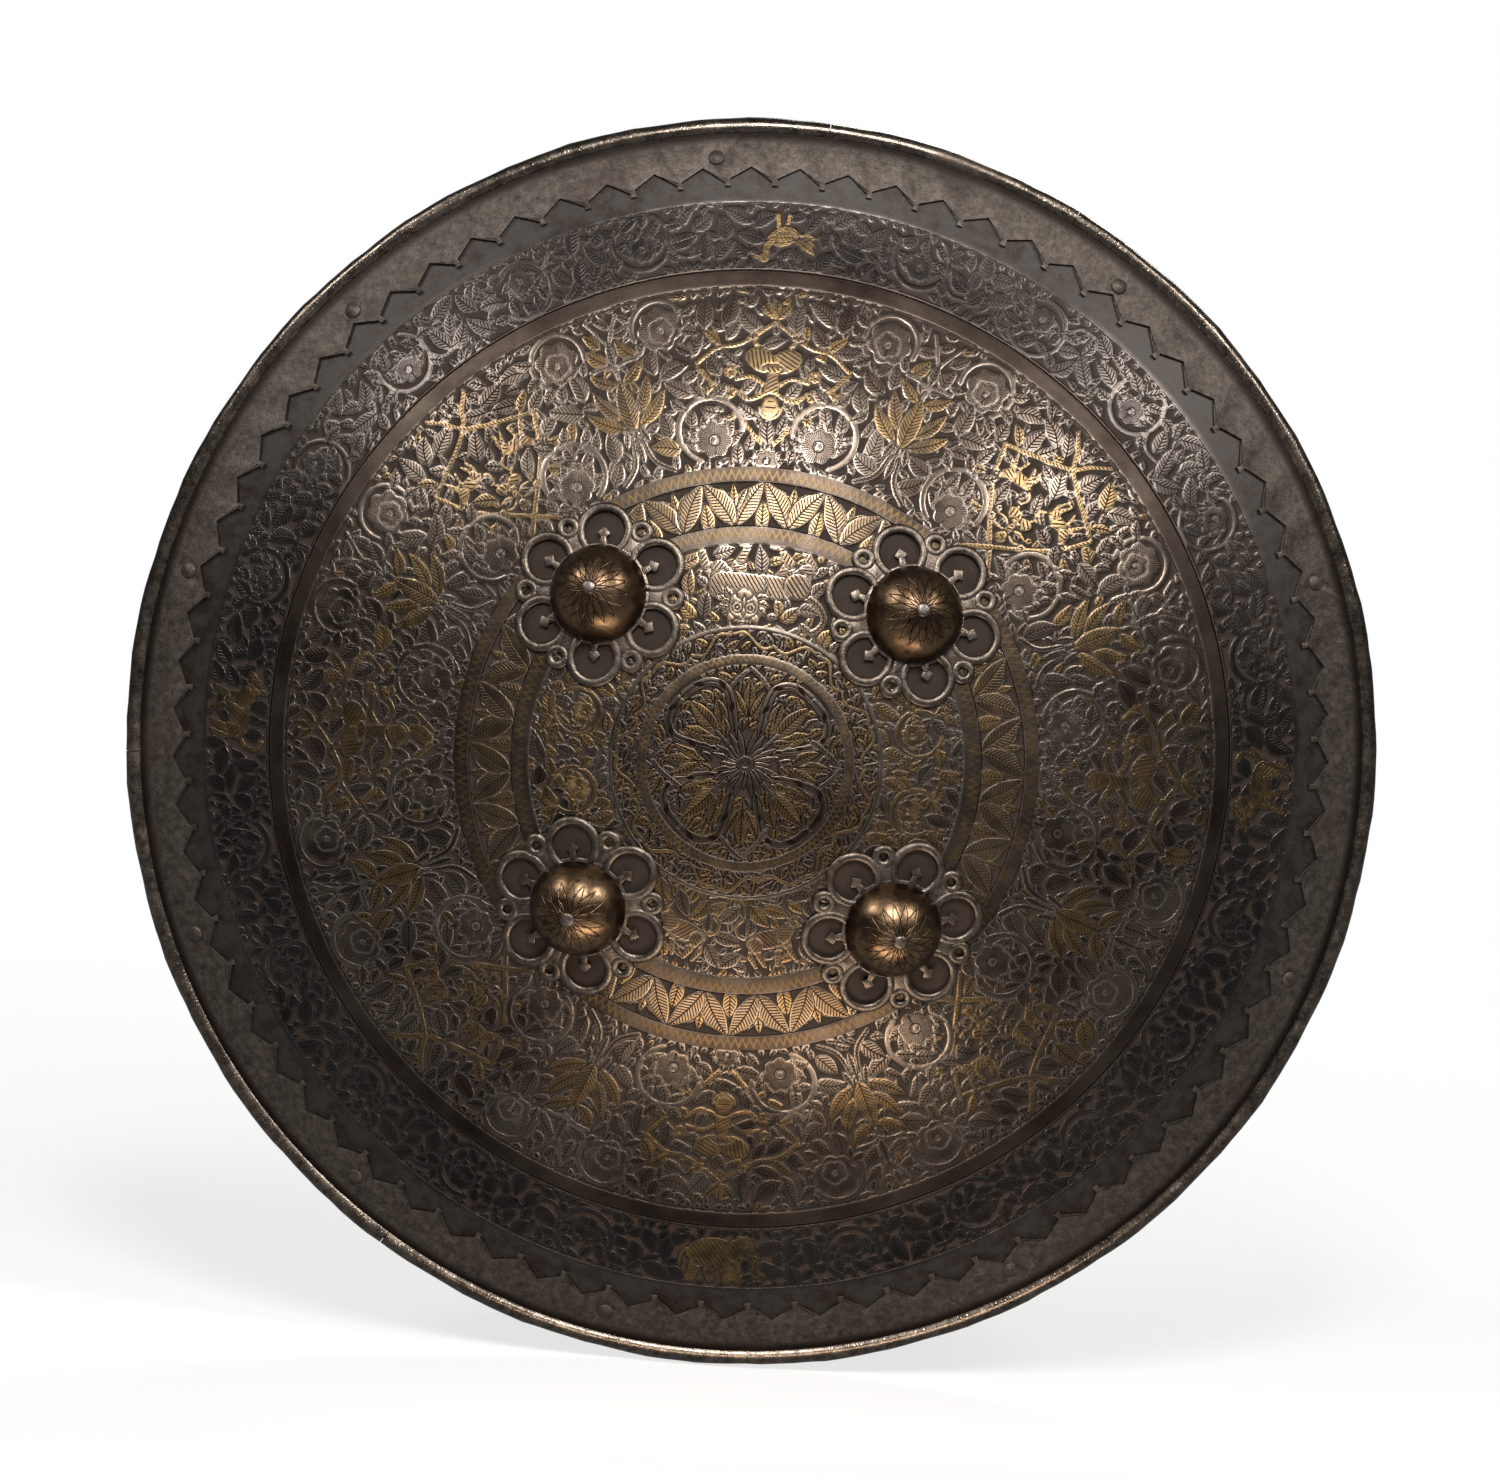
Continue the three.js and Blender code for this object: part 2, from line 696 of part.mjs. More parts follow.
// The eye's hole points as nearly sideways as the tilt of the stem allows
function eyeTurn(matrix) {
  const out = new THREE.Vector3().setFromMatrixColumn(matrix, 1);
  const side = new THREE.Vector3(1, 0, 0);
  const hole = side.addScaledVector(out, -side.dot(out)).normalize();
  const along = new THREE.Vector3().crossVectors(hole, out);
  return new THREE.Matrix4().makeBasis(hole, out, along)
    .setPosition(new THREE.Vector3().setFromMatrixPosition(matrix));
}

function makeEyeBolt(name, matrix) {
  const top = domeSeat + domeHeight + seatGap;
  const profile = [
    [0, top + peenHeight],
    [peenRadius * Math.SQRT1_2, top + peenHeight * Math.SQRT1_2],
    [peenRadius, top],
    [stemRadius, top],
    [stemRadius, -shoulderTop],
    [shoulderRadius, -shoulderTop],
    [shoulderRadius, -shoulderTop - shoulderHeight],
    [0, -shoulderTop - shoulderHeight - eyeWireRadius],
  ].map(([radius, height]) => new THREE.Vector2(radius, height));
  const eye = new THREE.TorusGeometry(eyeRadius, eyeWireRadius, eyeWireSides, eyeSides)
    .rotateY(Math.PI / 2).translate(0, -eyeReach - eyeWireRadius / 2, 0);
  const bolt = join(lathe(profile, stemSides), [eye]).applyMatrix4(eyeTurn(matrix));
  addMesh(`${name}_eye_bolt`, bolt, 'iron');
}

function makeWasher(name, matrix) {
  const profile = [
    [stemHoleRadius, -washerTop],
    [washerRadius, -washerTop],
    [washerRadius, -washerTop - washerThickness],
    [stemHoleRadius, -washerTop - washerThickness],
    [stemHoleRadius, -washerTop],
  ].map(([radius, height]) => new THREE.Vector2(radius, height));
  addMesh(`${name}_washer`, drape(lathe(profile, washerSides), matrix), 'iron');
}

function makeBosses() {
  bossPlaces.forEach(({ name, degrees, petalDegrees }) => {
    const matrix = seatMatrix(bossPitchRadius, degrees);
    makeRosette(name, petalDegrees, matrix);
    makeDome(name, matrix);
    makeWasher(name, matrix);
    makeEyeBolt(name, matrix);
  });
}

// Handles and rings: drawn in the plane through both eyes, then swung to rest

function eyeCentre(degrees) {
  const matrix = seatMatrix(bossPitchRadius, degrees);
  return new THREE.Vector3(0, -eyeReach - eyeWireRadius / 2, 0).applyMatrix4(matrix);
}

const upperEye = eyeCentre(bossPlaces[0].degrees);
const ringHang = upperEye.z - eyeRadius + eyeWireRadius + ringPlay + ringWireRadius;
const ringLean = radians(ringLeanDegrees);
const ringWay = new THREE.Vector3(0, Math.sin(ringLean), -Math.cos(ringLean));

function ringCentre() {
  return new THREE.Vector3(0, 0, ringHang).addScaledVector(ringWay, ringRadius);
}

function ringEnd() {
  return new THREE.Vector3(0, 0, ringHang).addScaledVector(ringWay, 2 * ringRadius);
}

function mirroredDown(geometry) {
  return outward(geometry.clone().scale(1, 1, -1));
}

function ringGeometry() {
  const ring = new THREE.TorusGeometry(ringRadius, ringWireRadius, ringWireSides, ringSides);
  ring.rotateX(ringLean - Math.PI / 2);
  const centre = ringCentre();
  return bare(ring.translate(centre.x, centre.y, centre.z));
}

function handleCurve() {
  const start = ringEnd();
  const middle = new THREE.Vector3(0, handleBow, 0);
  const upper = new THREE.CubicBezierCurve3(
    start,
    start.clone().addScaledVector(ringWay, handleLeadIn),
    middle.clone().setZ(handleMidReach),
    middle,
  );
  const flip = new THREE.Vector3(1, 1, -1);
  const lower = new THREE.CubicBezierCurve3(
    middle,
    upper.v2.clone().multiply(flip),
    upper.v1.clone().multiply(flip),
    start.clone().multiply(flip),
  );
  const path = new THREE.CurvePath();
  path.add(upper);
  path.add(lower);
  return path;
}

// A round bar along a curve in the swing plane, thin at its ends and full in the middle
function handleBar() {
  const curve = handleCurve();
  const corners = [];
  const faces = [];
  const sideways = new THREE.Vector3(1, 0, 0);
  for (let step = 0; step <= handleSteps; step += 1) {
    const share = step / handleSteps;
    const middle = curve.getPointAt(share);
    const across = new THREE.Vector3().crossVectors(curve.getTangentAt(share), sideways).normalize();
    const fullness = Math.sin(Math.PI * share) ** handleFullnessPower;
    const radius = THREE.MathUtils.lerp(handleEndRadius, handleRadius, fullness);
    for (let side = 0; side < handleSides; side += 1) {
      const angle = side * turn / handleSides;
      const corner = middle.clone().addScaledVector(sideways, radius * Math.cos(angle))
        .addScaledVector(across, radius * Math.sin(angle));
      corners.push(corner.x, corner.y, corner.z);
    }
  }
  for (let step = 0; step < handleSteps; step += 1) {
    for (let side = 0; side < handleSides; side += 1) {
      const here = step * handleSides + side;
      const beside = step * handleSides + (side + 1) % handleSides;
      faces.push(here, beside, here + handleSides, beside, beside + handleSides, here + handleSides);
    }
  }
  const last = handleSteps * handleSides;
  for (let side = 1; side < handleSides - 1; side += 1) {
    faces.push(0, side + 1, side, last, last + side, last + side + 1);
  }
  const bar = new THREE.BufferGeometry();
  bar.setAttribute('position', new THREE.Float32BufferAttribute(corners, 3));
  bar.setIndex(faces);
  return bar;
}

function handleGeometry() {
  const end = ringEnd();
  const loop = new THREE.CylinderGeometry(handleLoopRadius, handleLoopRadius, handleLoopWidth, handleSides)
    .rotateZ(Math.PI / 2).translate(end.x, end.y, end.z);
  const boreLength = handleLoopWidth + 2 * cutOverrun;
  const bore = new THREE.CylinderGeometry(handleLoopBore, handleLoopBore, boreLength, handleSides)
    .rotateZ(Math.PI / 2).translate(end.x, end.y, end.z);
  const whole = join(handleBar(), [loop, mirroredDown(loop)]);
  return cut(whole, [bore, mirroredDown(bore)]);
}

function makeHandles() {
  const sides = [
    { name: 'left', sign: -1 },
    { name: 'right', sign: 1 },
  ];
  sides.forEach(({ name, sign }) => {
    const swing = (geometry) => geometry.clone().rotateZ(sign * radians(handleRestDegrees))
      .translate(sign * upperEye.x, upperEye.y, 0);
    addMesh(`top_${name}_ring`, swing(ringGeometry()), 'iron');
    addMesh(`bottom_${name}_ring`, swing(mirroredDown(ringGeometry())), 'iron');
    addMesh(`${name}_handle`, swing(handleGeometry()), 'leather');
  });
}

// Knuckle pad: crowned above, following the lining below, sides drawn in between corners

function padPoint(column, row, crowned) {
  const across = 2 * column / padCells - 1;
  const up = 2 * row / padCells - 1;
  const pull = (own, other) => own * (1 - padDrawInShare * (1 - other ** 2) - padCornerShare * other ** 4);
  const x = padHalfWidth * pull(across, up);
  const z = padHalfWidth * pull(up, across);
  const floor = bowlPoint(Math.hypot(x, z), -washerTop).y;
  const crown = Math.sqrt((1 - across ** 2) * (1 - up ** 2));
  return [x, floor + (crowned ? padEdgeHeight + padCrownHeight * crown : 0), z];
}

function makePad() {
  const row = padCells + 1;
  const corners = [];
  const faces = [];
  [false, true].forEach((crowned) => {
    for (let cell = 0; cell < row * row; cell += 1) {
      corners.push(...padPoint(cell % row, Math.floor(cell / row), crowned));
    }
  });
  const top = row * row;
  for (let up = 0; up < padCells; up += 1) {
    for (let across = 0; across < padCells; across += 1) {
      const here = up * row + across;
      const above = here + row;
      faces.push(here, here + 1, above + 1, here, above + 1, above);
      faces.push(top + here, top + above + 1, top + here + 1, top + here, top + above, top + above + 1);
    }
  }
  const wall = (from, to) => faces.push(from, top + from, to, to, top + from, top + to);
  for (let cell = 0; cell < padCells; cell += 1) {
    wall(cell, cell + 1);
    wall(cell * row + padCells, (cell + 1) * row + padCells);
    wall(padCells * row + cell + 1, padCells * row + cell);
    wall((cell + 1) * row, cell * row);
  }
  const pad = new THREE.BufferGeometry();
  pad.setAttribute('position', new THREE.Float32BufferAttribute(corners, 3));
  pad.setIndex(faces);
  addMesh('knuckle_pad', pad, 'velvet');
}

makeBowl();
makeLining();
makeBorder();
makeRim();
makeRivets();
makeBosses();
makeHandles();
makePad();

export default shield;
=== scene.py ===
"""Looks of a dhal: a domed steel hand shield, chiselled, inlaid with gold and lined with velvet.

The classes hold their sizes in millimetres, and the meshes are written in metres.
"""

import logging
import math
from contextlib import contextmanager
from dataclasses import dataclass, field
from enum import Enum
from functools import cached_property
from typing import Any, Callable, Iterator, Sequence

import bmesh
import bpy
import numpy as np
from mathutils import Matrix, Vector


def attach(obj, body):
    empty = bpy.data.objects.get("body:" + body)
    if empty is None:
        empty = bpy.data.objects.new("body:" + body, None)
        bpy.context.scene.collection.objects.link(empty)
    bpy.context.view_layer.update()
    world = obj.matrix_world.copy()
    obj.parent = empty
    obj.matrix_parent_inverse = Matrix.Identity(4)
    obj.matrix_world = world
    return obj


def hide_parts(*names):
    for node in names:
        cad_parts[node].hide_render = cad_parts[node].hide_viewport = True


LOG = logging.getLogger("dhal")
MM = 0.001
TURN = 2.0 * math.pi
FAR = 9.0
ROOT = "shield"
RELIEF = ("raised", "vein", "hatch", "gold", "inlay")

Point = tuple[float, float]
Place = tuple[float, float, float]


class Slot(str, Enum):
    """Material slots that the record names."""

    BOWL = "chiselled_steel"
    BORDER = "border_steel"
    RIM = "rim_steel"
    ROSETTE = "rosette_steel"
    BOSS = "gilt_boss"
    IRON = "forged_iron"
    LEATHER = "handle_leather"
    PAD = "pad_velvet"
    LINING = "lining_velvet"


def linear(colour: str) -> tuple[float, float, float, float]:
    """Turn an sRGB hex colour into linear values.

    Args:
        colour: Colour such as "#8a6a3a".

    Returns:
        Red, green, blue and alpha, linear.
    """
    channels = [int(colour[i : i + 2], 16) / 255 for i in (1, 3, 5)]
    red, green, blue = ((c / 12.92) if c <= 0.04045 else ((c + 0.055) / 1.055) ** 2.4 for c in channels)
    return red, green, blue, 1.0


def choose(piece: bpy.types.Object) -> None:
    """Select one object alone and make it the active one."""
    bpy.ops.object.select_all(action="DESELECT")
    piece.select_set(True)
    bpy.context.view_layer.objects.active = piece


@contextmanager
def editing(piece: bpy.types.Object, everything: bool = False) -> Iterator[None]:
    """Hold a piece in edit mode with nothing or everything selected.

    Args:
        piece: Mesh object to edit.
        everything: Whether everything is selected.

    Yields:
        Nothing, while the piece is in edit mode.
    """
    choose(piece)
    bpy.ops.object.mode_set(mode="EDIT")
    bpy.ops.mesh.select_mode(type="FACE")
    bpy.ops.mesh.select_all(action="SELECT" if everything else "DESELECT")
    yield
    bpy.ops.object.mode_set(mode="OBJECT")


def pick(piece: bpy.types.Object, test: Callable[[Vector, Vector], bool]) -> None:
    """Select the faces that pass a test, in edit mode.

    Args:
        piece: Mesh object in edit mode.
        test: Takes a face's centre and normal.
    """
    form = bmesh.from_edit_mesh(piece.data)
    for face in form.faces:
        face.select_set(test(face.calc_center_median(), face.normal))
    bmesh.update_edit_mesh(piece.data)


def active_piece(name: str) -> bpy.types.Object:
    """Name the active object, which is the one that was just made.

    Args:
        name: Name for the object and its mesh.

    Returns:
        The active object.
    """
    piece = bpy.context.active_object
    piece.name = name
    piece.data.name = name
    return piece


def modify(piece: bpy.types.Object, kind: str, **settings: Any) -> None:
    """Add a modifier and apply it.

    Args:
        piece: Object that gets it.
        kind: Modifier type.
        settings: Its properties.
    """
    choose(piece)
    modifier = piece.modifiers.new(kind.title(), kind)
    for name, value in settings.items():
        setattr(modifier, name, value)
    bpy.ops.object.modifier_apply(modifier=modifier.name)


def round_edges(piece: bpy.types.Object, width: float, degrees: float) -> None:
    """Round the edges that are steeper than an angle.

    Args:
        piece: Mesh object.
        width: Width of the rounding, in millimetres.
        degrees: Edges less steep than this stay as they are.
    """
    limit = math.radians(degrees)
    modify(piece, "BEVEL", width=width * MM, segments=2, limit_method="ANGLE", angle_limit=limit)


def places_of(piece: bpy.types.Object) -> np.ndarray:
    """Return the points of a mesh, in metres."""
    return np.array([tuple(vertex.co) for vertex in piece.data.vertices])


def set_places(piece: bpy.types.Object, places: np.ndarray) -> None:
    """Move the points of a mesh.

    Args:
        piece: Mesh object.
        places: New places, in metres.
    """
    piece.data.vertices.foreach_set("co", places.astype(np.float32).ravel())
    piece.data.update()


def grow(rise: float, size: float) -> None:
    """Extrude the selected faces along z and scale the new ones about the z axis, in edit mode.

    Args:
        rise: How far, in millimetres.
        size: Their new size, as a share of the old one.
    """
    bpy.ops.mesh.extrude_region_move(TRANSFORM_OT_translate={"value": (0, 0, rise * MM)})
    bpy.ops.transform.resize(value=(size, size, 1), center_override=(0, 0, 0))


def smooth(piece: bpy.types.Object, degrees: float = 38.0) -> None:
    """Shade a piece smooth, with its sharp edges kept.

    Args:
        piece: Mesh object.
        degrees: Edges steeper than this stay sharp.
    """
    choose(piece)
    bpy.ops.object.shade_smooth_by_angle(angle=math.radians(degrees))


def as_model(piece: bpy.types.Object, degrees: float = 45.0) -> bpy.types.Object:
    """Smooth a model piece and keep its points, in millimetres, as the attribute "seat".

    Args:
        piece: Mesh object that isn't placed yet.
        degrees: Edges steeper than this stay sharp.

    Returns:
        The same object.
    """
    smooth(piece, degrees)
    layer = piece.data.attributes.new("seat", "FLOAT_VECTOR", "POINT")
    layer.data.foreach_set("vector", (places_of(piece) / MM).astype(np.float32).ravel())
    return piece


def linked(name: str, data: Any) -> bpy.types.Object:
    """Make an object of its data and put it in the scene.

    Args:
        name: Name of the object.
        data: Mesh, curve, lamp or camera.

    Returns:
        The object.
    """
    thing = bpy.data.objects.new(name, data)
    bpy.context.scene.collection.objects.link(thing)
    return thing


def placed_copy(piece: bpy.types.Object, name: str, matrix: Matrix) -> bpy.types.Object:
    """Copy a piece with its own mesh and put it in place, in its mesh.

    Args:
        piece: Model piece at the origin.
        name: Name of the copy.
        matrix: Place in the shared frame, in metres.

    Returns:
        The copy.
    """
    mesh = piece.data.copy()
    mesh.name = name
    mesh.transform(matrix)
    mesh.update()
    return linked(name, mesh)


def drop(piece: bpy.types.Object) -> None:
    """Delete a model piece that was only there to be copied."""
    bpy.data.objects.remove(piece, do_unlink=True)


def join(pieces: Sequence[bpy.types.Object], name: str) -> bpy.types.Object:
    """Join pieces into the first of them.

    Args:
        pieces: Mesh objects.
        name: Name of the result.

    Returns:
        The joined object.
    """
    bpy.ops.object.select_all(action="DESELECT")
    for piece in pieces:
        piece.select_set(True)
    bpy.context.view_layer.objects.active = pieces[0]
    bpy.ops.object.join()
    return active_piece(name)


def bake_place(piece: bpy.types.Object) -> None:
    """Put the object's place, turn and size into its mesh."""
    choose(piece)
    bpy.ops.object.transform_apply(location=True, rotation=True, scale=True)


def primitive(add: Callable[..., set[str]], name: str, **settings: Any) -> bpy.types.Object:
    """Add a mesh primitive, with its place in its mesh.

    Args:
        add: Operator that adds it.
        name: Name of the piece.
        settings: Sizes, place and turn.

    Returns:
        The new piece.
    """
    bpy.ops.object.select_all(action="DESELECT")
    add(**settings)
    piece = active_piece(name)
    bake_place(piece)
    return piece


def tube(name: str, places: np.ndarray, radius: float, fine: int) -> bpy.types.Object:
    """Lay a closed cord along points.

    Args:
        name: Name of the piece.
        places: Points in metres.
        radius: Radius of the cord, in millimetres.
        fine: How finely it is rounded.

    Returns:
        The cord as a mesh.
    """
    curve = bpy.data.curves.new(name, "CURVE")
    curve.dimensions = "3D"
    curve.bevel_depth = radius * MM
    curve.bevel_resolution = fine
    spline = curve.splines.new("POLY")
    spline.points.add(len(places) - 1)
    for point, place in zip(spline.points, places):
        point.co = (*place, 1)
    spline.use_cyclic_u = True
    choose(linked(name, curve))
    bpy.ops.object.convert(target="MESH")
    return active_piece(name)


def round_faces(rows: int, columns: int, closed: bool) -> list[list[int]]:
    """Number the faces of a grid of points that runs round.

    Args:
        rows: Rows of points.
        columns: Points in each row.
        closed: Whether the last row joins the first one.

    Returns:
        Point numbers of each face.
    """
    number = np.arange(rows * columns).reshape(rows, columns)
    above = np.roll(number, -1, axis=0)
    quads = np.stack([number, np.roll(number, -1, axis=1), np.roll(above, -1, axis=1), above], axis=-1)
    return (quads if closed else quads[:-1]).reshape(-1, 4).tolist()


def fit_out(
    piece: bpy.types.Object, body: str, material: bpy.types.Material, nodes: Sequence[str] = ()
) -> bpy.types.Object:
    """Dress a piece, seat it on its body and report it.

    Args:
        piece: Finished object.
        body: CAD body that carries it.
        material: Its finish.
        nodes: CAD nodes that it stands for.

    Returns:
        The same object.
    """
    piece.data.materials.clear()
    piece.data.materials.append(material)
    if nodes:
        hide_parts(*nodes)
    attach(piece, body)
    LOG.info("%s rides on %s: %d points", piece.name, body, len(piece.data.vertices))
    return piece


@dataclass(frozen=True)
class BowlProfile:
    """Section of the bowl's decorated face, from the hand hold's origin."""

    radius: float = 232.0
    depth: float = 82.0
    apex: float = -50.0
    wall: float = 2.0
    knots: tuple[Point, ...] = (
        (-0.173, 0.032), (0.0, 0.0), (0.173, 0.032), (0.354, 0.134), (0.523, 0.3),
        (0.683, 0.53), (0.834, 0.78), (1.0, 1.0),
    )
    steps: int = 24

    def curve(self) -> tuple[np.ndarray, np.ndarray]:
        """Return radii and heights along a smooth curve through the knots."""
        knots = np.array(self.knots + (self.knots[-1],))
        spans = []
        for i in range(1, len(self.knots) - 1):
            before, start, end, after = knots[i - 1], knots[i], knots[i + 1], knots[i + 2]
            t = np.linspace(0, 1, self.steps, endpoint=i == len(self.knots) - 2)[:, None]
            first, last = (end - before) / 2, (after - start) / 2
            cubic = (2 * start - 2 * end + first + last) * t**3
            square = (3 * end - 3 * start - 2 * first - last) * t**2
            spans.append(cubic + square + first * t + start)
        line = np.vstack(spans)
        return line[:, 0] * self.radius, line[:, 1] * self.depth + self.apex

    def height(self, radius: Any) -> Any:
        """Return y at one radius or an array of them."""
        radii, heights = self.curve()
        return np.interp(radius, radii, heights)

    def slope(self, radius: Any) -> Any:
        """Return the slope of the face, as rise over run."""
        probe = 0.3
        return (self.height(np.asarray(radius) + probe) - self.height(np.abs(radius - probe))) / (2 * probe)

    def seat(self, radius: float, degrees: float, twist: float = 0.0) -> Matrix:
        """Place on the face: z out of it, y away from the centre.

        Args:
            radius: Distance from the axis.
            degrees: Clockwise from the top, seen from the front.
            twist: Turn about the seat's own z, clockwise from the front.

        Returns:
            Matrix in metres for a mesh in metres.
        """
        tilt = math.atan(float(self.slope(radius)))
        turn = math.radians(degrees)
        out = Vector((math.sin(turn), 0, math.cos(turn)))
        along = out * math.cos(tilt) + Vector((0, math.sin(tilt), 0))
        normal = out * math.sin(tilt) - Vector((0, math.cos(tilt), 0))
        side = along.cross(normal)
        place = Vector((radius * out.x, float(self.height(radius)), radius * out.z)) * MM
        basis = Matrix((side, along, normal)).transposed().to_4x4()
        return Matrix.Translation(place) @ basis @ Matrix.Rotation(-math.radians(twist), 4, "Z")


BOWL = BowlProfile()
BOSS_RADIUS = 81.0
BOSS_NAMES = ("top_right", "bottom_right", "bottom_left", "top_left")
PETALS = 6
PETAL_CENTRE = 23.5


def petal_turn(number: int) -> float:
    """Measure how far a rosette is turned on its seat.

    Args:
        number: Which boss, clockwise from the top right.

    Returns:
        Turn of its first petal from the seat's y axis, anticlockwise, in radians.
    """
    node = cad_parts[f"{BOSS_NAMES[number]}_rosette"]
    local = BOWL.seat(BOSS_RADIUS, 45 + 90 * number).inverted()
    places = np.array([tuple(local @ vertex.co) for vertex in node.data.vertices]) / MM
    reach = np.hypot(places[:, 0], places[:, 1])
    far = places[reach > reach.max() - 1.0]
    return float(np.angle(np.exp(1j * PETALS * np.arctan2(-far[:, 0], far[:, 1])).mean())) / PETALS


def drape(piece: bpy.types.Object, seat: Matrix) -> None:
    """Bend a flat piece over the bowl, as its smith did with a hammer.

    Args:
        piece: Flat piece in the seat's axes, in metres.
        seat: Place of the seat.
    """
    flat = places_of(piece)
    turn, shift = np.array(seat.to_3x3()), np.array(seat.translation)
    out = turn[:, 2]
    places = (flat * np.array([1, 1, 0])) @ turn.T + shift
    for _ in range(5):
        below = places[:, 1] - BOWL.height(np.hypot(places[:, 0], places[:, 2]) / MM) * MM
        places += below[:, None] * out
    places += flat[:, 2:] * out
    set_places(piece, places)


@dataclass(frozen=True)
class Tool:
    """How a shape is cut: its groove, its gold and its hatching."""

    gap: float = 0.34
    gold: float = 0.0
    pitch: float = 1.45
    slant: float = 0.9
    under: bool = False
    lined: bool = True

    def bare(self, gap: float = 0.34) -> "Tool":
        """Return the tool for a part of the same metal without lines.

        Args:
            gap: Width of its groove.
        """
        return Tool(gap=gap, gold=self.gold, lined=False)


STEEL = Tool()
GOLD = Tool(gold=1.0)
UNDER = Tool(under=True)
UNDER_GOLD = Tool(under=True, gold=1.0)
PLAIN = Tool(lined=False)


@dataclass
class ReliefField:
    """A ring of the bowl's face with the pattern laid out on it as distances in millimetres."""

    inner: float
    outer: float
    rows: int
    columns: int
    most_leaves: int = 4000
    radii: np.ndarray = field(init=False)
    x: np.ndarray = field(init=False)
    z: np.ndarray = field(init=False)
    raised: np.ndarray = field(init=False)
    vein: np.ndarray = field(init=False)
    hatch: np.ndarray = field(init=False)
    gold: np.ndarray = field(init=False)
    inlay: np.ndarray = field(init=False)

    def __post_init__(self) -> None:
        """Lay out the ring's points."""
        self.radii = np.linspace(self.inner, self.outer, self.rows)
        angles = np.arange(self.columns) * TURN / self.columns
        radius, angle = np.meshgrid(self.radii, angles, indexing="ij")
        self.x = radius * np.sin(angle)
        self.z = radius * np.cos(angle)
        for name, start in zip(RELIEF, (-FAR, FAR, 0.0, 0.0, FAR)):
            setattr(self, name, np.full(radius.shape, start))

    def window(self, radius: float, degrees: float, reach: float) -> tuple:
        """Find the points near a place.

        Args:
            radius: Distance of the place from the axis.
            degrees: Clockwise from the top.
            reach: How far from it.

        Returns:
            Row and column numbers for indexing, empty where the ring isn't reached.
        """
        low = int(np.searchsorted(self.radii, radius - reach))
        high = int(np.searchsorted(self.radii, radius + reach))
        step = TURN / self.columns
        spread = math.pi if radius <= reach * 1.05 else math.asin(reach / radius)
        angle = math.radians(degrees)
        first = math.floor((angle - spread) / step)
        count = min(self.columns, math.ceil(2 * spread / step) + 2)
        return np.ix_(np.arange(low, high), np.arange(first, first + count) % self.columns)

    def write(self, where: Any, inside: np.ndarray, **values: Any) -> None:
        """Write into layers of the pattern.

        Args:
            where: Rows, or rows and columns.
            inside: Which of these points are written.
            values: New values by the layer's name.
        """
        for name, value in values.items():
            layer = getattr(self, name)
            layer[where] = np.where(inside, value, layer[where])

    def flat_ring(self, inner: float, outer: float, dark: float = 0.0, lip: float = 0.35) -> None:
        """Leave a plain raised ring, with a groove at each side.

        Args:
            inner: Inner radius.
            outer: Outer radius.
            dark: How far it is browned, kept as gold below nothing.
            lip: Half the width of the grooves.
        """
        rows = (self.radii >= inner - 1) & (self.radii <= outer + 1)
        distance = np.minimum(self.radii - inner - lip, outer - lip - self.radii)[rows, None]
        self.raised[rows] = np.maximum(distance, np.minimum(self.raised[rows], -(distance + lip)))
        self.write(rows, distance > -lip, vein=FAR, hatch=0.5, gold=-dark, inlay=FAR)

    def zigzag(self, middle: float, height: float, waves: int) -> None:
        """Inlay a gold zigzag line round the ring.

        Args:
            middle: Radius of its middle.
            height: From peak to trough.
            waves: Number of waves.
        """
        rows = np.abs(self.radii - middle) < height
        phase = np.arange(self.columns) / self.columns * waves
        wave = 4 * np.abs(phase - np.floor(phase + 0.5)) - 1
        steep = 2 * height * waves / (TURN * middle)
        lean = math.hypot(1, steep)
        self.inlay[rows] = ((self.radii[rows, None] - middle) - 0.5 * height * wave[None, :]) / lean

    def fill_pockets(
        self, rng: np.random.Generator, inner: float, outer: float, least: float, most: float, gilt: float
    ) -> None:
        """Tuck a leaf into every free pocket of ground, the widest first.

        Args:
            rng: Seeded source of the leaves' turns.
            inner: Inner radius of the zone.
            outer: Outer radius of the zone.
            least: Pockets narrower than this radius stay open.
            most: Largest radius that a leaf takes.
            gilt: Share of the leaves that are gold.
        """
        rows = np.flatnonzero((self.radii > inner) & (self.radii < outer))
        zone = self.raised[rows[0] : rows[-1] + 1]
        for _ in range(self.most_leaves):
            row, column = divmod(int(np.argmin(zone)), self.columns)
            radius = float(self.radii[rows[0] + row])
            free = -float(zone[row, column])
            if free < least:
                break
            room = min(free, radius - inner + 1.2, outer - radius + 1.2, most)
            degrees = column * 360.0 / self.columns
            spot = Spot(self, radius, degrees, turn=float(rng.uniform(-80, 80)), reach=2.6 * room + 2)
            tool = UNDER_GOLD if rng.random() < gilt else UNDER
            length = room * float(rng.uniform(1.15, 1.7))
            bend = room * float(rng.uniform(-0.45, 0.45))
            spot.leaf((0, -length), (0, length), room * 1.55, bend, tool)


def on_oval(
    degrees: float, half_u: float, half_v: float, centre: Point = (0.0, 0.0), lead: float = 0.0
) -> Point:
    """Find a point on an oval.

    Args:
        degrees: Clockwise from its top.
        half_u: Half its width.
        half_v: Half its height.
        centre: Its middle.
        lead: How far the point is ahead, in radians.

    Returns:
        The point.
    """
    way = math.radians(degrees) + lead
    return centre[0] + half_u * math.sin(way), centre[1] + half_v * math.cos(way)


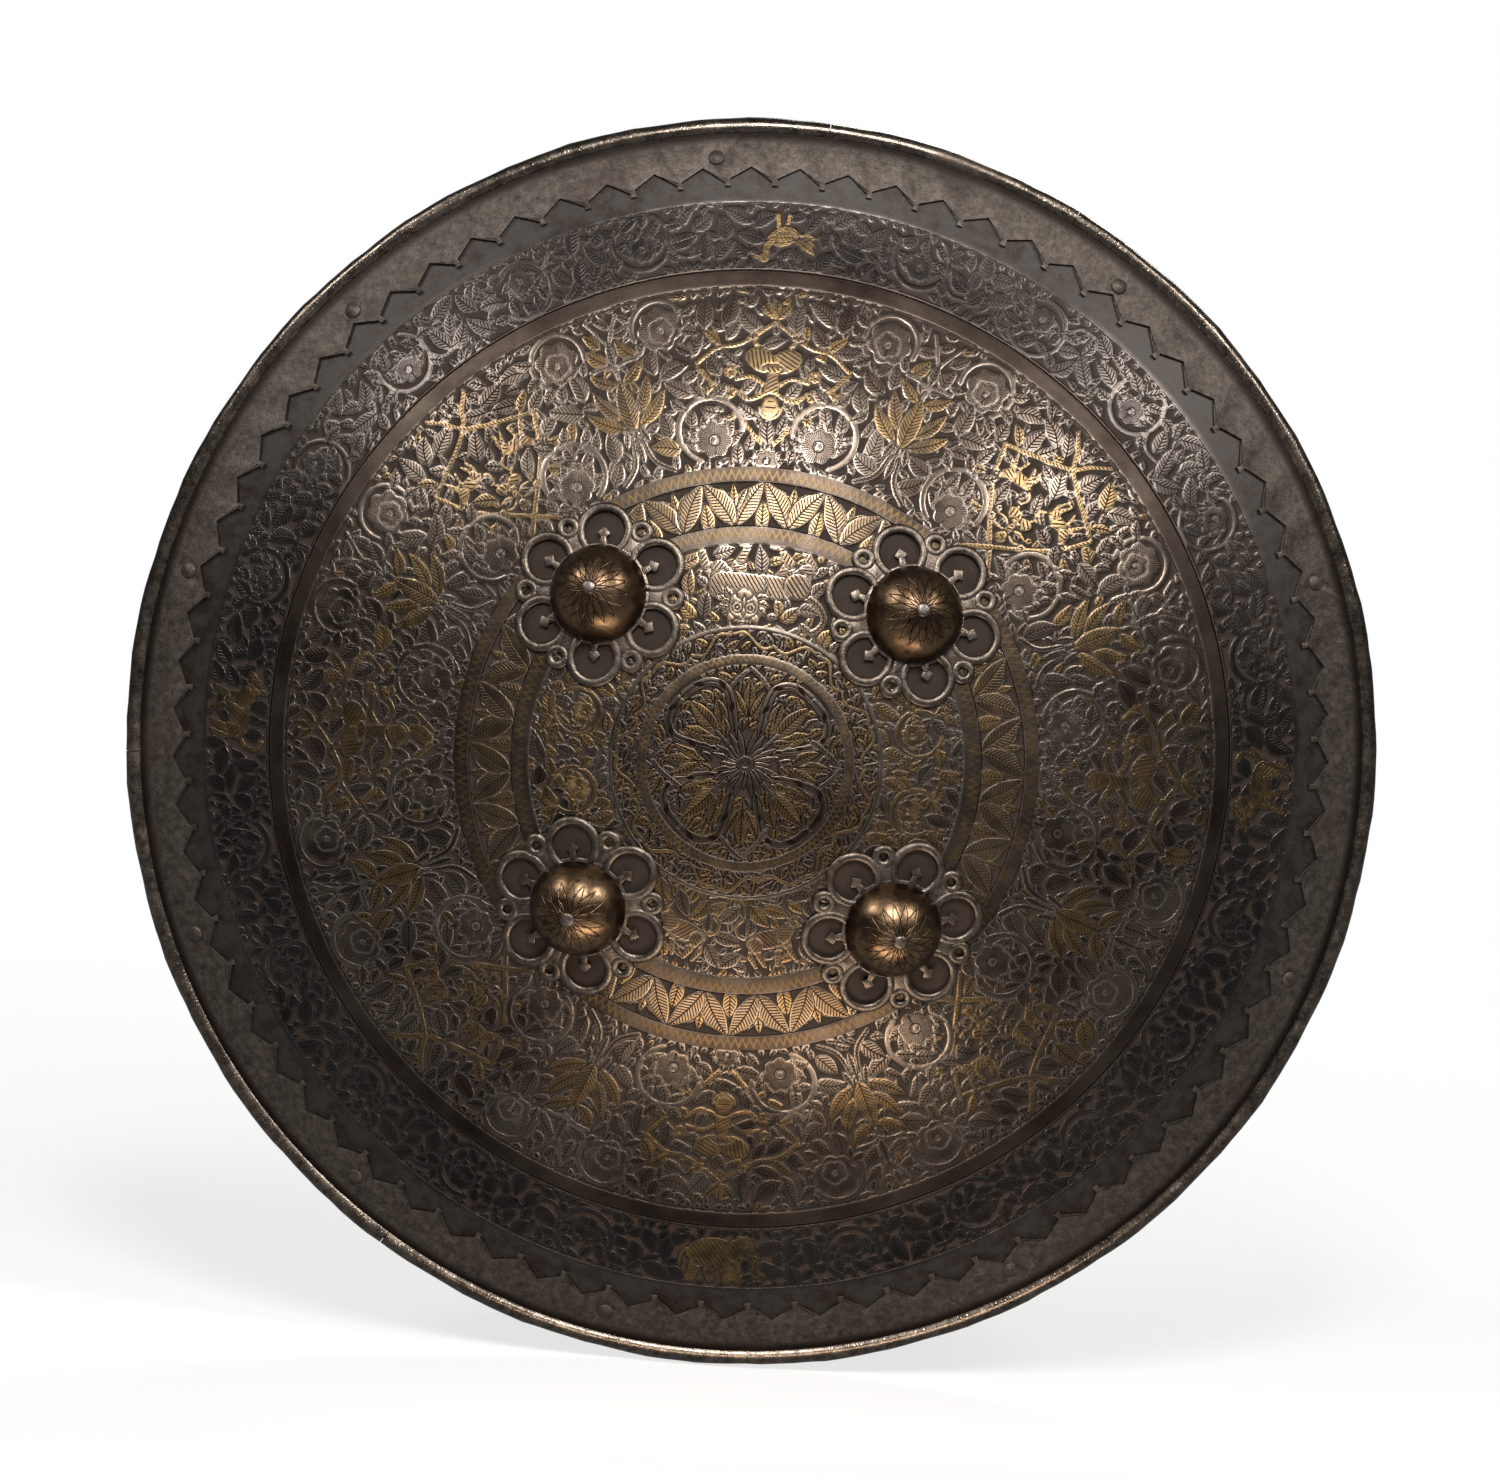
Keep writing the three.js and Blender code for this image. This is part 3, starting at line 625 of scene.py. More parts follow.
class Spot:
    """A place on a field with its own axes: u clockwise, v away from the shield's centre."""

    def __init__(
        self, relief: ReliefField, radius: float, degrees: float,
        turn: float = 0.0, reach: float = 14.0, flip: bool = False, scale: float = 1.0,
    ) -> None:
        """Set up the spot.

        Args:
            relief: Field that is cut.
            radius: Distance from the axis.
            degrees: Clockwise from the top.
            turn: Turn of the axes, clockwise.
            reach: How far the shapes reach.
            flip: Mirror u.
            scale: Size of the shapes' units, in millimetres.
        """
        self.relief = relief
        self.scale = scale
        self.where = relief.window(radius, degrees, reach)
        angle = math.radians(degrees)
        x = (relief.x[self.where] - radius * math.sin(angle)) / scale
        z = (relief.z[self.where] - radius * math.cos(angle)) / scale
        lean = math.radians(degrees + turn)
        self.u = (x * math.cos(lean) - z * math.sin(lean)) * (-1 if flip else 1)
        self.v = x * math.sin(lean) + z * math.cos(lean)

    def lay(self, distance: np.ndarray, tool: Tool, vein: Any = FAR, hatch: Any = 0.5) -> None:
        """Cut one shape, over or under those already there.

        Args:
            distance: Distance inside its outline, in the spot's units.
            tool: How it is cut.
            vein: Distance from its middle line.
            hatch: Count of hatching lines.
        """
        relief, where = self.relief, self.where
        distance = distance * self.scale
        old = relief.raised[where]
        if tool.under:
            shape = np.minimum(distance, -(old + tool.gap))
            inside = shape > np.maximum(old, -tool.gap / 2)
            relief.raised[where] = np.maximum(old, shape)
        else:
            inside = distance > -tool.gap / 2
            relief.raised[where] = np.maximum(distance, np.minimum(old, -(distance + tool.gap)))
        vein, hatch = (vein * self.scale, hatch) if tool.lined else (FAR, 0.5)
        relief.write(where, inside, vein=vein, hatch=hatch, gold=tool.gold, inlay=FAR)

    def axis(self, start: Point, end: Point) -> tuple[np.ndarray, np.ndarray, float]:
        """Measure along and across a line.

        Args:
            start: First point.
            end: Last point.

        Returns:
            Distance along, distance across to the left, and the line's length.
        """
        du, dv = end[0] - start[0], end[1] - start[1]
        length = math.hypot(du, dv)
        along = ((self.u - start[0]) * du + (self.v - start[1]) * dv) / length
        across = ((self.v - start[1]) * du - (self.u - start[0]) * dv) / length
        return along, across, length

    def leaf(
        self, start: Point, end: Point, width: float, bend: float = 0.0, tool: Tool = STEEL, lobes: int = 0
    ) -> None:
        """Cut a pointed leaf with a midrib and slanting veins.

        Args:
            start: Its stalk end.
            end: Its tip.
            width: Widest part.
            bend: Bow of the midrib.
            tool: How it is cut.
            lobes: Notches along each side.
        """
        along, across, length = self.axis(start, end)
        share = np.clip(along / length, 0, 1)
        across = across - bend * 4 * share * (1 - share)
        half = width / 2 * np.sin(math.pi * share**0.85) ** 0.75
        if lobes:
            half = half * (0.78 + 0.22 * np.abs(np.cos(math.pi * lobes * share)))
        distance = np.minimum(half - np.abs(across), np.minimum(along, length - along) + 0.1)
        hatch = (along - tool.slant * np.abs(across)) * self.scale / tool.pitch
        self.lay(distance * 0.92, tool, across, hatch)

    def leaves(self, shapes: Sequence[tuple], tool: Tool = STEEL, lobes: int = 0) -> None:
        """Cut several leaves.

        Args:
            shapes: Stalk end, tip, width and bend of each.
            tool: How they are cut.
            lobes: Notches along each side.
        """
        for start, end, width, bend in shapes:
            self.leaf(start, end, width, bend, tool, lobes)

    def limb(self, start: Point, end: Point, first: float, last: float, tool: Tool = STEEL) -> None:
        """Cut a rounded bar that may taper.

        Args:
            start: First end.
            end: Other end.
            first: Radius at the first end.
            last: Radius at the other end.
            tool: How it is cut.
        """
        along, across, length = self.axis(start, end)
        share = np.clip(along / length, 0, 1)
        distance = first + (last - first) * share - np.hypot(along - share * length, across)
        self.lay(distance, tool, FAR, (along + 0.6 * across) * self.scale / tool.pitch)

    def oval(
        self, centre: Point, half_u: float, half_v: float, tool: Tool = STEEL, turn: float = 0.0
    ) -> None:
        """Cut an oval with slanting hatching.

        Args:
            centre: Its middle.
            half_u: Half its width.
            half_v: Half its height.
            tool: How it is cut.
            turn: Turn in degrees.
        """
        lean = math.radians(turn)
        u, v = self.u - centre[0], self.v - centre[1]
        p = u * math.cos(lean) - v * math.sin(lean)
        q = u * math.sin(lean) + v * math.cos(lean)
        distance = (1 - np.hypot(p / half_u, q / half_v)) * min(half_u, half_v)
        self.lay(distance, tool, FAR, (p * 0.8 + q * 0.6) * self.scale / tool.pitch)

    def strip(self, points: Sequence[Point], width: float, tool: Tool = STEEL, fine: int = 5) -> None:
        """Cut a ribbon along a smooth curve, with a line down its middle.

        Args:
            points: Points on the curve.
            width: Width of the ribbon.
            tool: How it is cut.
            fine: Steps between two points.
        """
        knots = [points[0], *points, points[-1]]
        path = []
        for before, start, end, after in zip(knots, knots[1:], knots[2:], knots[3:]):
            for step in range(fine):
                t = step / fine
                path.append(tuple(
                    0.5 * (2 * b + (c - a) * t + (2 * a - 5 * b + 4 * c - d) * t * t
                           + (3 * b - a - 3 * c + d) * t**3)
                    for a, b, c, d in zip(before, start, end, after)
                ))
        path.append(points[-1])
        best = np.full(self.u.shape, FAR * 4)
        vein = np.zeros(self.u.shape)
        run = np.zeros(self.u.shape)
        travelled = 0.0
        for start, end in zip(path, path[1:]):
            along, across, length = self.axis(start, end)
            off = np.hypot(along - np.clip(along, 0, length), across)
            nearer = off < best
            best = np.where(nearer, off, best)
            vein = np.where(nearer, across, vein)
            run = np.where(nearer, travelled + along, run)
            travelled += length
        self.lay(width / 2 - best, tool, vein if width > 1.9 else FAR, (run + vein) * self.scale / tool.pitch)

    def hoop(
        self, centre: Point, radius: float, width: float, tool: Tool = STEEL,
        start: float = 0, sweep: float = 360,
    ) -> None:
        """Cut a ring or a part of one.

        Args:
            centre: Its middle.
            radius: Radius of its middle line.
            width: Its width.
            tool: How it is cut.
            start: First degree, clockwise from v.
            sweep: Degrees that it runs.
        """
        u, v = self.u - centre[0], self.v - centre[1]
        distance = width / 2 - np.abs(np.hypot(u, v) - radius)
        if sweep < 360:
            turn = (np.degrees(np.arctan2(u, v)) - start) % 360
            past = np.minimum(np.maximum(turn - sweep, 0), 360 - turn)
            distance = distance - np.radians(np.where(turn > sweep, past, 0)) * radius
        self.lay(distance, tool, FAR, 0.5)

    def bloom(
        self, centre: Point, radius: float, petals: int, tool: Tool = STEEL, turn: float = 0.0, lines: int = 3
    ) -> None:
        """Cut an open flower: scalloped edge, radial hatching and an eye.

        Args:
            centre: Its middle.
            radius: Reach of the petals.
            petals: Number of petals.
            tool: How it is cut.
            turn: Turn in degrees.
            lines: Hatching lines on each petal.
        """
        u, v = self.u - centre[0], self.v - centre[1]
        angle = np.arctan2(u, v) - math.radians(turn)
        reach = np.hypot(u, v)
        edge = radius * (0.84 + 0.16 * np.abs(np.cos(petals * angle / 2)))
        self.lay(edge - reach, tool, reach - 0.3 * radius, angle * petals * lines / TURN)
        self.lay(0.17 * radius - reach, tool.bare())

    def fan(self, centre: Point, radius: float, turn: float = 0.0, tool: Tool = STEEL) -> None:
        """Cut a flower seen from its side: outer petals, and a hatched half disc before them.

        Args:
            centre: Foot of the flower.
            radius: Its reach.
            turn: Way that it faces, in degrees from v.
            tool: How it is cut.
        """
        for lean in (-78, 78, -48, 48, -16, 16):
            tip = on_oval(turn + lean, radius, radius, centre)
            self.leaf(centre, tip, radius * 0.62, 0.0, tool)
        foot = on_oval(turn, 0.12 * radius, 0.12 * radius, centre)
        self.bloom(foot, radius * 0.6, 7, tool, turn, 6)


@dataclass(frozen=True)
class Bestiary:
    """Animals and figures of the pattern, drawn upright: v is up and one unit a millimetre."""

    def great_beast(self, spot: Spot, tool: Tool) -> None:
        """Cut the large round-eyed beast over the roundel, about 46 by 28 units.

        Args:
            spot: Where it stands.
            tool: How it is cut.
        """
        spot.strip([(-14, 2), (-20, 5), (-22.6, 10.5), (-19, 14.6), (-15.6, 12.6)], 2.4, tool)
        for hip, knee, foot in (
            ((-13.6, -2.6), (-17.4, -7.4), (-14.6, -12.6)), ((-8.6, -3.0), (-10.0, -8.0), (-6.4, -12.6)),
            ((7.6, -3.0), (6.6, -8.4), (4.4, -12.8)), ((13.4, -2.4), (18.6, -5.6), (20.4, -11.0)),
        ):
            spot.limb(hip, knee, 3.6, 1.9, tool)
            spot.limb(knee, foot, 1.7, 1.2, tool)
            spot.oval((foot[0] + 1.3, foot[1] - 0.5), 2.7, 1.2, tool)
        spot.limb((-13.0, -1.4), (-15.4, -5.2), 4.6, 2.8, tool)
        spot.limb((12.0, -0.8), (13.8, -4.8), 5.2, 2.8, tool)
        spot.limb((-11.0, 0.4), (2.0, 0.6), 3.6, 4.4, tool)
        spot.limb((2.0, 0.6), (12.0, 1.2), 4.4, 5.0, tool)
        spot.oval((-13.0, -0.4), 4.6, 4.4, tool)
        bare = tool.bare()
        for lean in range(-120, 121, 24):
            root = on_oval(lean, 4.4, 4.0, (4.6, 6.6))
            spot.leaf(root, on_oval(lean, 8.8, 7.4, (4.6, 6.4), 0.2), 2.9, 0.3, tool)
        for side in (-1, 1):
            spot.leaf((4.6 + side * 3.0, 9.4), (4.6 + side * 5.2, 13.2), 2.6, 0.0, bare)
        spot.oval((4.6, 7.0), 4.9, 4.7, bare)
        spot.oval((4.6, 3.4), 2.5, 1.7, bare)
        spot.leaf((4.6, 10.6), (4.6, 4.0), 1.5, 0.0, bare)
        for side in (-1, 1):
            spot.hoop((4.6 + side * 2.2, 7.8), 1.3, 0.7, bare)
            spot.oval((4.6 + side * 2.2, 7.8), 0.5, 0.5, bare)

    def elephant(self, spot: Spot, tool: Tool) -> None:
        """Cut a walking elephant, about 26 by 16 units.

        Args:
            spot: Where it walks.
            tool: How it is cut.
        """
        spot.strip([(-8.6, 2.4), (-10.6, 0.4), (-10.8, -3.4)], 1.0, tool)
        for hip, foot in ((-5.8, -7.4), (-2.6, -1.2), (2.8, 4.0), (5.4, 7.0)):
            spot.limb((hip, -1.4), (foot, -7.4), 2.1, 1.5, tool)
        spot.oval((-0.6, 1.2), 8.4, 5.2, tool)
        spot.strip([(9.6, 3.6), (12.6, 0.4), (12.4, -4.4), (14.6, -6.0)], 2.2, tool)
        spot.oval((8.2, 3.6), 3.9, 3.9, tool.bare(0.5))
        spot.leaf((10.0, 0.8), (13.8, -0.6), 1.3, 0.3, tool)
        spot.oval((5.8, 2.8), 2.5, 3.4, tool)
        spot.oval((9.2, 4.8), 0.7, 0.6, tool)

    def maned_beast(self, spot: Spot, tool: Tool) -> None:
        """Cut a walking beast with a mane.

        Args:
            spot: Where it walks.
            tool: How it is cut.
        """
        self.beast(spot, tool, maned=True)

    def beast(self, spot: Spot, tool: Tool, maned: bool = False) -> None:
        """Cut a walking beast, about 24 by 17 units.

        Args:
            spot: Where it walks.
            tool: How it is cut.
            maned: Whether it has a mane.
        """
        spot.strip([(-6.8, 1.2), (-9.4, 3.0), (-9.8, 6.2), (-7.6, 8.0)], 1.4, tool)
        for knee, foot in (((-6.6, -4.6), (-5.2, -8.2)), ((2.6, -4.8), (1.6, -8.2))):
            spot.limb((knee[0] + 1.4, -0.8), knee, 1.6, 1.0, tool)
            spot.limb(knee, foot, 1.0, 0.7, tool)
        spot.oval((0, 0.4), 7.4, 3.1, tool, -4)
        for knee, foot in (((-3.6, -4.9), (-2.2, -8.2)), ((6.6, -4.0), (8.4, -7.4))):
            spot.limb((knee[0] - 0.9, -0.9), knee, 1.9, 1.1, tool)
            spot.limb(knee, foot, 1.1, 0.75, tool)
        spot.limb((5.2, 1.4), (8.0, 4.4), 2.6, 2.0, tool)
        if maned:
            spot.bloom((7.4, 4.4), 4.0, 11, tool, 0, 2)
        spot.oval((9.6, 5.4), 2.9, 2.0, tool, 24)
        spot.limb((10.6, 5.0), (12.8, 4.0), 1.3, 0.9, tool)
        spot.leaf((8.4, 6.4), (7.0, 9.2), 1.7, 0.2, tool)
        spot.oval((9.9, 5.9), 0.75, 0.75, tool.bare(0.5))

    def bird(self, spot: Spot, tool: Tool) -> None:
        """Cut a walking bird, about 18 by 14 units.

        Args:
            spot: Where it stands.
            tool: How it is cut.
        """
        for lean in (-2.6, 0.0, 2.6):
            spot.leaf((-3.0, 0.4), (-10.4, 2.6 + lean), 2.4, 0.4, tool)
        spot.limb((-0.8, -2.4), (-1.6, -6.6), 0.8, 0.6, tool)
        spot.limb((1.4, -2.2), (1.8, -6.6), 0.8, 0.6, tool)
        spot.oval((0, 0), 4.8, 3.0, tool, -18)
        spot.leaf((3.2, 1.2), (-4.2, 0.2), 3.0, 0.7, tool)
        spot.strip([(3.0, 1.2), (4.8, 3.4), (4.8, 5.8)], 1.9, tool)
        spot.oval((5.4, 6.6), 1.7, 1.4, tool)
        spot.leaf((6.4, 6.8), (9.0, 6.0), 1.2, 0.0, tool)

    def dancer(self, spot: Spot, tool: Tool) -> None:
        """Cut a dancing figure with four arms, about 34 by 30 units, its face plain and calm.

        Args:
            spot: Where it dances.
            tool: How it is cut.
        """
        for side in (-1, 1):
            spot.limb((side * 4.0, -9.0), (side * 7.4, -14.6), 1.7, 1.0, tool)
            spot.oval((side * 8.4, -15.6), 2.3, 1.0, tool)
            spot.strip([(side * 1.6, 4.2), (side * 8.4, 6.8), (side * 13.6, 3.4)], 1.9, tool)
            spot.strip([(side * 1.6, 2.2), (side * 7.0, -1.4), (side * 13.4, -0.2)], 1.8, tool)
            spot.bloom((side * 15.8, 4.6), 3.0, 7, tool, 0, 1)
            spot.bloom((side * 15.6, -2.6), 2.5, 7, tool, 0, 1)
            spot.oval((side * 4.6, -7.6), 6.2, 4.3, tool, side * 24)
        spot.limb((0, 4.4), (0, -4.0), 2.9, 1.8, tool)
        spot.oval((0, -4.6), 3.4, 1.6, tool)
        spot.oval((0, 9.0), 3.3, 3.8, tool.bare(0.6))
        spot.hoop((0, 9.4), 4.1, 1.0, tool, -95, 190)
        brow = (np.abs(spot.u) < 2.2) & (np.abs(spot.v - 9.3) < 1.2)
        mouth = (np.abs(spot.u) < 1.2) & (np.abs(spot.v - 7.2) < 0.8)
        face = np.where(brow, spot.v - 9.3, np.where(mouth, spot.v - 7.2, FAR))
        near = np.hypot(spot.u, spot.v - 9.0) < 3.0
        spot.relief.write(spot.where, near, vein=face * spot.scale)


@dataclass
class ChiselledBowl:
    """The raised steel bowl: its relief is laid out ring by ring, and each ring is one closed piece."""

    groove: float = 0.15
    recess: float = 0.36
    pillow: float = 0.04
    skin: float = 0.05
    rear_rows: int = 4
    wear_radii: Point = (176.0, 181.0)
    worn_depth: float = 0.62
    boss_clear: float = 21.0
    window: float = 9.0
    trees: int = 8
    seed: int = 7
    beasts: Bestiary = field(default_factory=Bestiary)

    def scroll_ring(self) -> ReliefField:
        """Lay out the outer band: a vine with lotus flowers, and an animal at each quarter."""
        relief = ReliefField(179.0, 209.5, 50, 1880)
        rng = np.random.default_rng(self.seed)
        flowers = 24
        for i in range(flowers):
            degrees = i * 360 / flowers + float(rng.uniform(-0.8, 0.8))
            if i % 6 == 0:
                continue
            side = 1 if i % 2 else -1
            middle = 191.4 + side * 1.3
            spot = Spot(relief, middle, degrees, reach=22)
            spot.hoop((0, 0), 10.4, 1.8, STEEL, 30 * side, 262)
            spot.strip([(9.6, -side * 3.4), (14, -side * 8.4), (20, -side * 8.6)], 1.3)
            spot.fan((0, -side * 4.2), 8.2, 0 if side > 0 else 180)
            for lean in (-125, -70, 70, 125):
                foot = on_oval(lean, 10.6, 10.6)
                spot.leaf(foot, on_oval(lean, 16.4, 14.6, lead=0.16), 4.6, 0.6, STEEL, 3)
        animals = (self.beasts.bird, self.beasts.maned_beast, self.beasts.elephant, self.beasts.beast)
        for quarter in range(4):
            spot = Spot(relief, 191.0, 90 * quarter, turn=180, reach=24, scale=1.22, flip=quarter % 2 == 1)
            animals[quarter](spot, GOLD)
        relief.fill_pockets(rng, 180.4, 202.8, 1.45, 3.8, 0.0)
        relief.flat_ring(178.0, 179.4, 0.8)
        relief.flat_ring(203.0, 213.0)
        return relief

    def main_field(self) -> ReliefField:
        """Lay out the wide field: eight trees with scrolling flowers, and gold cartouches between."""
        relief = ReliefField(107.0, 179.0, 117, 1560)
        rng = np.random.default_rng(self.seed + 1)
        for k in range(self.trees):
            self.cartouche(relief, 360 / self.trees * k, k % 2 == 0)
        for k in range(self.trees):
            self.tree(relief, 360 / self.trees * (k + 0.5) + float(rng.uniform(-0.4, 0.4)), rng)
        relief.fill_pockets(rng, 107.8, 171.4, 1.3, 4.2, 0.07)
        relief.flat_ring(105.0, 107.4, 0.6)
        relief.flat_ring(171.4, 172.2)
        relief.flat_ring(172.2, 178.3, 0.8)
        relief.flat_ring(178.3, 182.0, 0.8)
        return relief

    def tree(self, relief: ReliefField, degrees: float, rng: np.random.Generator) -> None:
        """Cut one tree: roots, gold leaves, and four flowers in their scrolls.

        Args:
            relief: Field that is cut.
            degrees: Where it stands.
            rng: Seeded source of small differences.
        """
        for side in (-1, 1):
            low = Spot(relief, 121.0, degrees + side * 12.6, reach=19, flip=side < 0)
            low.hoop((0, 0), 11.6, 2.2, STEEL, 200, 262)
            low.fan((1.2, -5.2), 11.0, float(rng.uniform(-25, 5)))
            low.leaves((
                ((-8.4, 8.2), (-13.6, 12.6), 4.2, 0.5), ((2.0, 12.0), (7.4, 16.6), 4.6, -0.8),
                ((-1.0, 12.0), (-5.6, 17.4), 4.0, 0.8),
            ), STEEL, 3)
            high = Spot(relief, 160.6, degrees + side * 7.0, reach=19, flip=side < 0)
            high.hoop((0, 0), 10.0, 2.0, STEEL, 250, 250)
            high.bloom((0.4, -0.4), 8.3, 7, STEEL, float(rng.uniform(0, 30)), 7)
            high.bloom((0.8, -1.6), 4.6, 5, STEEL, float(rng.uniform(0, 30)), 5)
            high.leaves((
                ((8.4, -3.0), (14.6, -5.6), 4.2, 0.6), ((8.8, 3.0), (15.4, 6.4), 4.2, -0.6),
                ((5.0, -8.4), (10.4, -12.6), 4.4, 0.6),
            ), STEEL, 3)
        middle = Spot(relief, 136.0, degrees, reach=42)
        for side in (-1, 1):
            middle.strip([(side * 9.5, -27.4), (side * 3.4, -21.5), (side * 1.3, -9.6)], 2.1)
            middle.strip([(side * 1.2, -12.0), (side * 7.0, -6.0), (side * 13.0, -4.4)], 1.5)
            middle.strip([(0, 9.0), (side * 1.4, 15.0), (side * 9.0, 15.6)], 1.5)
            middle.strip([(0, 14.0), (side * 0.8, 24.0), (side * 6.0, 33.4)], 1.5)
            middle.leaves((
                ((side * 2.6, -8.4), (side * 15.0, 1.6), 5.2, -side * 1.0),
                ((side * 2.0, -4.4), (side * 10.6, 8.8), 5.0, -side * 1.2),
                ((side * 1.2, 8.0), (side * 9.8, 14.4), 4.6, -side * 0.9),
            ), GOLD)
            middle.leaf((side * 4.4, -15.0), (side * 2.4, -8.0), 2.6, 0.2)
        middle.leaf((0, -22.0), (0, -11.6), 2.6, 0.0)
        middle.leaf((0, -9.4), (0, 9.6), 7.4, 0.0, GOLD)
        middle.leaf((0, 15.0), (0, 25.0), 4.0, 0.0, STEEL, 3)

    def cartouche(self, relief: ReliefField, degrees: float, dancing: bool) -> None:
        """Cut one gold cartouche of branches.

        Args:
            relief: Field that is cut.
            degrees: Where it is.
            dancing: With a dancing figure, and otherwise with two beasts and a small figure.
        """
        spot = Spot(relief, 138.0, degrees, reach=46)
        if dancing:
            frames = [
                [(0, -25), (7, -17.5), (12, -12), (20, -4), (28, 4)],
                [(28, 5), (21, 11), (12, 13.4), (0, 22)],
            ]
        else:
            frames = [
                [(-9, 32), (-4, 27), (0, 21.5), (8, 16.5), (24, 9)],
                [(24, 9), (18, -2), (11, -10), (0, -20), (-7, -27)],
            ]
        for side in (-1, 1):
            for line in frames:
                spot.strip([(side * u, v) for u, v in line], 1.8, GOLD)
            for u, v, lean in ((12, -13, 5), (21, -3, 5), (20, 12, -5)):
                spot.leaf((side * u, v), (side * (u + 7), v - lean), 3.6, side * 0.6, GOLD)
        if dancing:
            figure = Spot(relief, 138.0, degrees, turn=180, reach=30)
            self.beasts.dancer(figure, GOLD)
            for side in (-1, 0, 1):
                spot.leaf((0, 22.5), (side * 5.6, 30.5 - 2.2 * abs(side)), 3.4, 0.0, GOLD)
            spot.fan((0, -29.6), 7.0, 0.0)
        else:
            for side in (-1, 1):
                walker = Spot(
                    relief, 143.0, degrees + side * 4.4, turn=180, reach=17, scale=0.78, flip=side > 0
                )
                self.beasts.beast(walker, GOLD)
            small = Spot(relief, 128.5, degrees, turn=180, reach=16, scale=0.52)
            self.beasts.dancer(small, GOLD)

    def petal_ring(self) -> ReliefField:
        """Lay out the ring of paired pointed petals between two gold zigzag lines."""
        relief = ReliefField(80.0, 107.0, 56, 1560)
        pairs = 28
        pale = Tool(gold=0.55, pitch=1.3, slant=0.7)
        for k in range(pairs):
            bud = Spot(relief, 93.0, 360 / pairs * (k + 0.5), reach=14)
            for side in (-1, 1):
                bud.leaf((side * 0.4, -1.6), (side * 5.2, 6.6), 3.2, side * 0.6, pale)
            bud.leaf((0, -0.6), (0, 8.0), 3.0, 0.0, GOLD)
            spot = Spot(relief, 93.0, 360 / pairs * k, reach=17)
            spot.leaf((0, -9.4), (0, 1.8), 5.4, 0.0, GOLD)
            for side in (-1, 1):
                spot.leaf((side * 9.2, -7.2), (side * 0.35, 8.6), 8.0, -side * 0.9, pale)
        relief.flat_ring(78.0, 86.0, 0.6)
        relief.flat_ring(101.4, 109.0, 0.6)
        relief.zigzag(104.3, 3.3, 240)
        rows = relief.radii < 90
        outer = relief.inlay[~rows].copy()
        relief.zigzag(83.3, 3.1, 190)
        relief.inlay[~rows] = outer
        return relief

    def animal_ring(self) -> ReliefField:
        """Lay out the ring between the bosses: beasts above and below, gold foliage at the sides."""
        relief = ReliefField(49.0, 80.0, 62, 1080)
        rng = np.random.default_rng(self.seed + 3)
        great = Spot(relief, 64.5, 0.5, turn=180, reach=36, scale=1.08)
        self.beasts.great_beast(great, Tool(pitch=1.5, gold=0.3))
        for degrees, flip, size in ((169.0, False, 1.12), (196.0, True, 1.12)):
            spot = Spot(relief, 66.0, degrees, turn=180, reach=26, scale=size, flip=flip)
            self.beasts.beast(spot, Tool(gold=0.6, pitch=1.3))
        for degrees in (90.0, 270.0):
            for lean in (-13, 13):
                spot = Spot(relief, 64.0, degrees + lean, reach=20, flip=lean > 0)
                spot.hoop((0, 0), 8.4, 1.5, GOLD, 20, 300)
                spot.fan((0, -3.4), 7.0, 0.0, GOLD)
                for way in (-100, -40, 50, 120):
                    foot = on_oval(way, 8.8, 8.8)
                    spot.leaf(foot, on_oval(way, 14.0, 14.0, lead=0.25), 4.4, 0.8, GOLD, 3)
        relief.fill_pockets(rng, 49.6, 79.4, 1.25, 3.4, 0.45)
        relief.flat_ring(47.0, 50.4)
        relief.flat_ring(79.0, 83.0)
        return relief

    def roundel(self) -> ReliefField:
        """Lay out the middle: four ribbon loops with sprigs, in a rope ring and a narrow scroll."""
        relief = ReliefField(0.5, 49.0, 98, 720)
        rng = np.random.default_rng(self.seed + 4)
        for k in range(18):
            spot = Spot(relief, 44.6, 20 * k, reach=12)
            side = 1 if k % 2 else -1
            wave = [(-7.8, -side * 1.6), (-3, -side * 2.6), (3, side * 2.6), (7.8, side * 1.6)]
            spot.strip(wave, 1.2, GOLD)
            spot.leaf((-1.0, side * 0.4), (-4.6, side * 3.6), 2.8, 0.3, GOLD)
            spot.leaf((1.0, -side * 0.4), (4.6, -side * 3.6), 2.8, 0.3)
        relief.fill_pockets(rng, 40.2, 48.8, 0.85, 1.8, 0.3)
        for k in range(4):
            arch = Spot(relief, 0.0, 90 * k, reach=50)
            arch.leaf((0, 14.5), (0, 30.5), 5.0, 0.0, GOLD)
            for side in (-1, 1):
                arch.leaf((side * 0.8, 17.0), (side * 5.6, 26.6), 3.8, -side * 0.5, GOLD)
                arch.strip([(side * 9.4, 24.0), (side * 4.6, 30.6), (0, 34.6)], 1.7)
                arch.leaf((side * 6.6, 30.0), (side * 12.4, 32.4), 3.2, 0.3, GOLD)
            loop = Spot(relief, 0.0, 90 * k + 45, reach=50)
            for side in (-1, 1):
                loop.strip(
                    [(side * 0.9, 3.0), (side * 4.6, 11.0), (side * 10.4, 19.5), (side * 12.8, 25.5),
                     (side * 10.4, 30.6), (side * 5.0, 33.0), (0, 33.4)], 3.0, Tool(pitch=FAR),
                )
                loop.leaf((side * 1.0, 14.6), (side * 7.8, 24.6), 5.2, -side * 0.8, GOLD)
                loop.leaf((side * 0.8, 12.0), (side * 5.2, 17.6), 3.2, -side * 0.5, GOLD)
            loop.leaf((0, 15.0), (0, 30.6), 6.0, 0.0, GOLD)
            loop.strip([(0, 3.0), (0, 10.0), (0, 15.4)], 1.2)
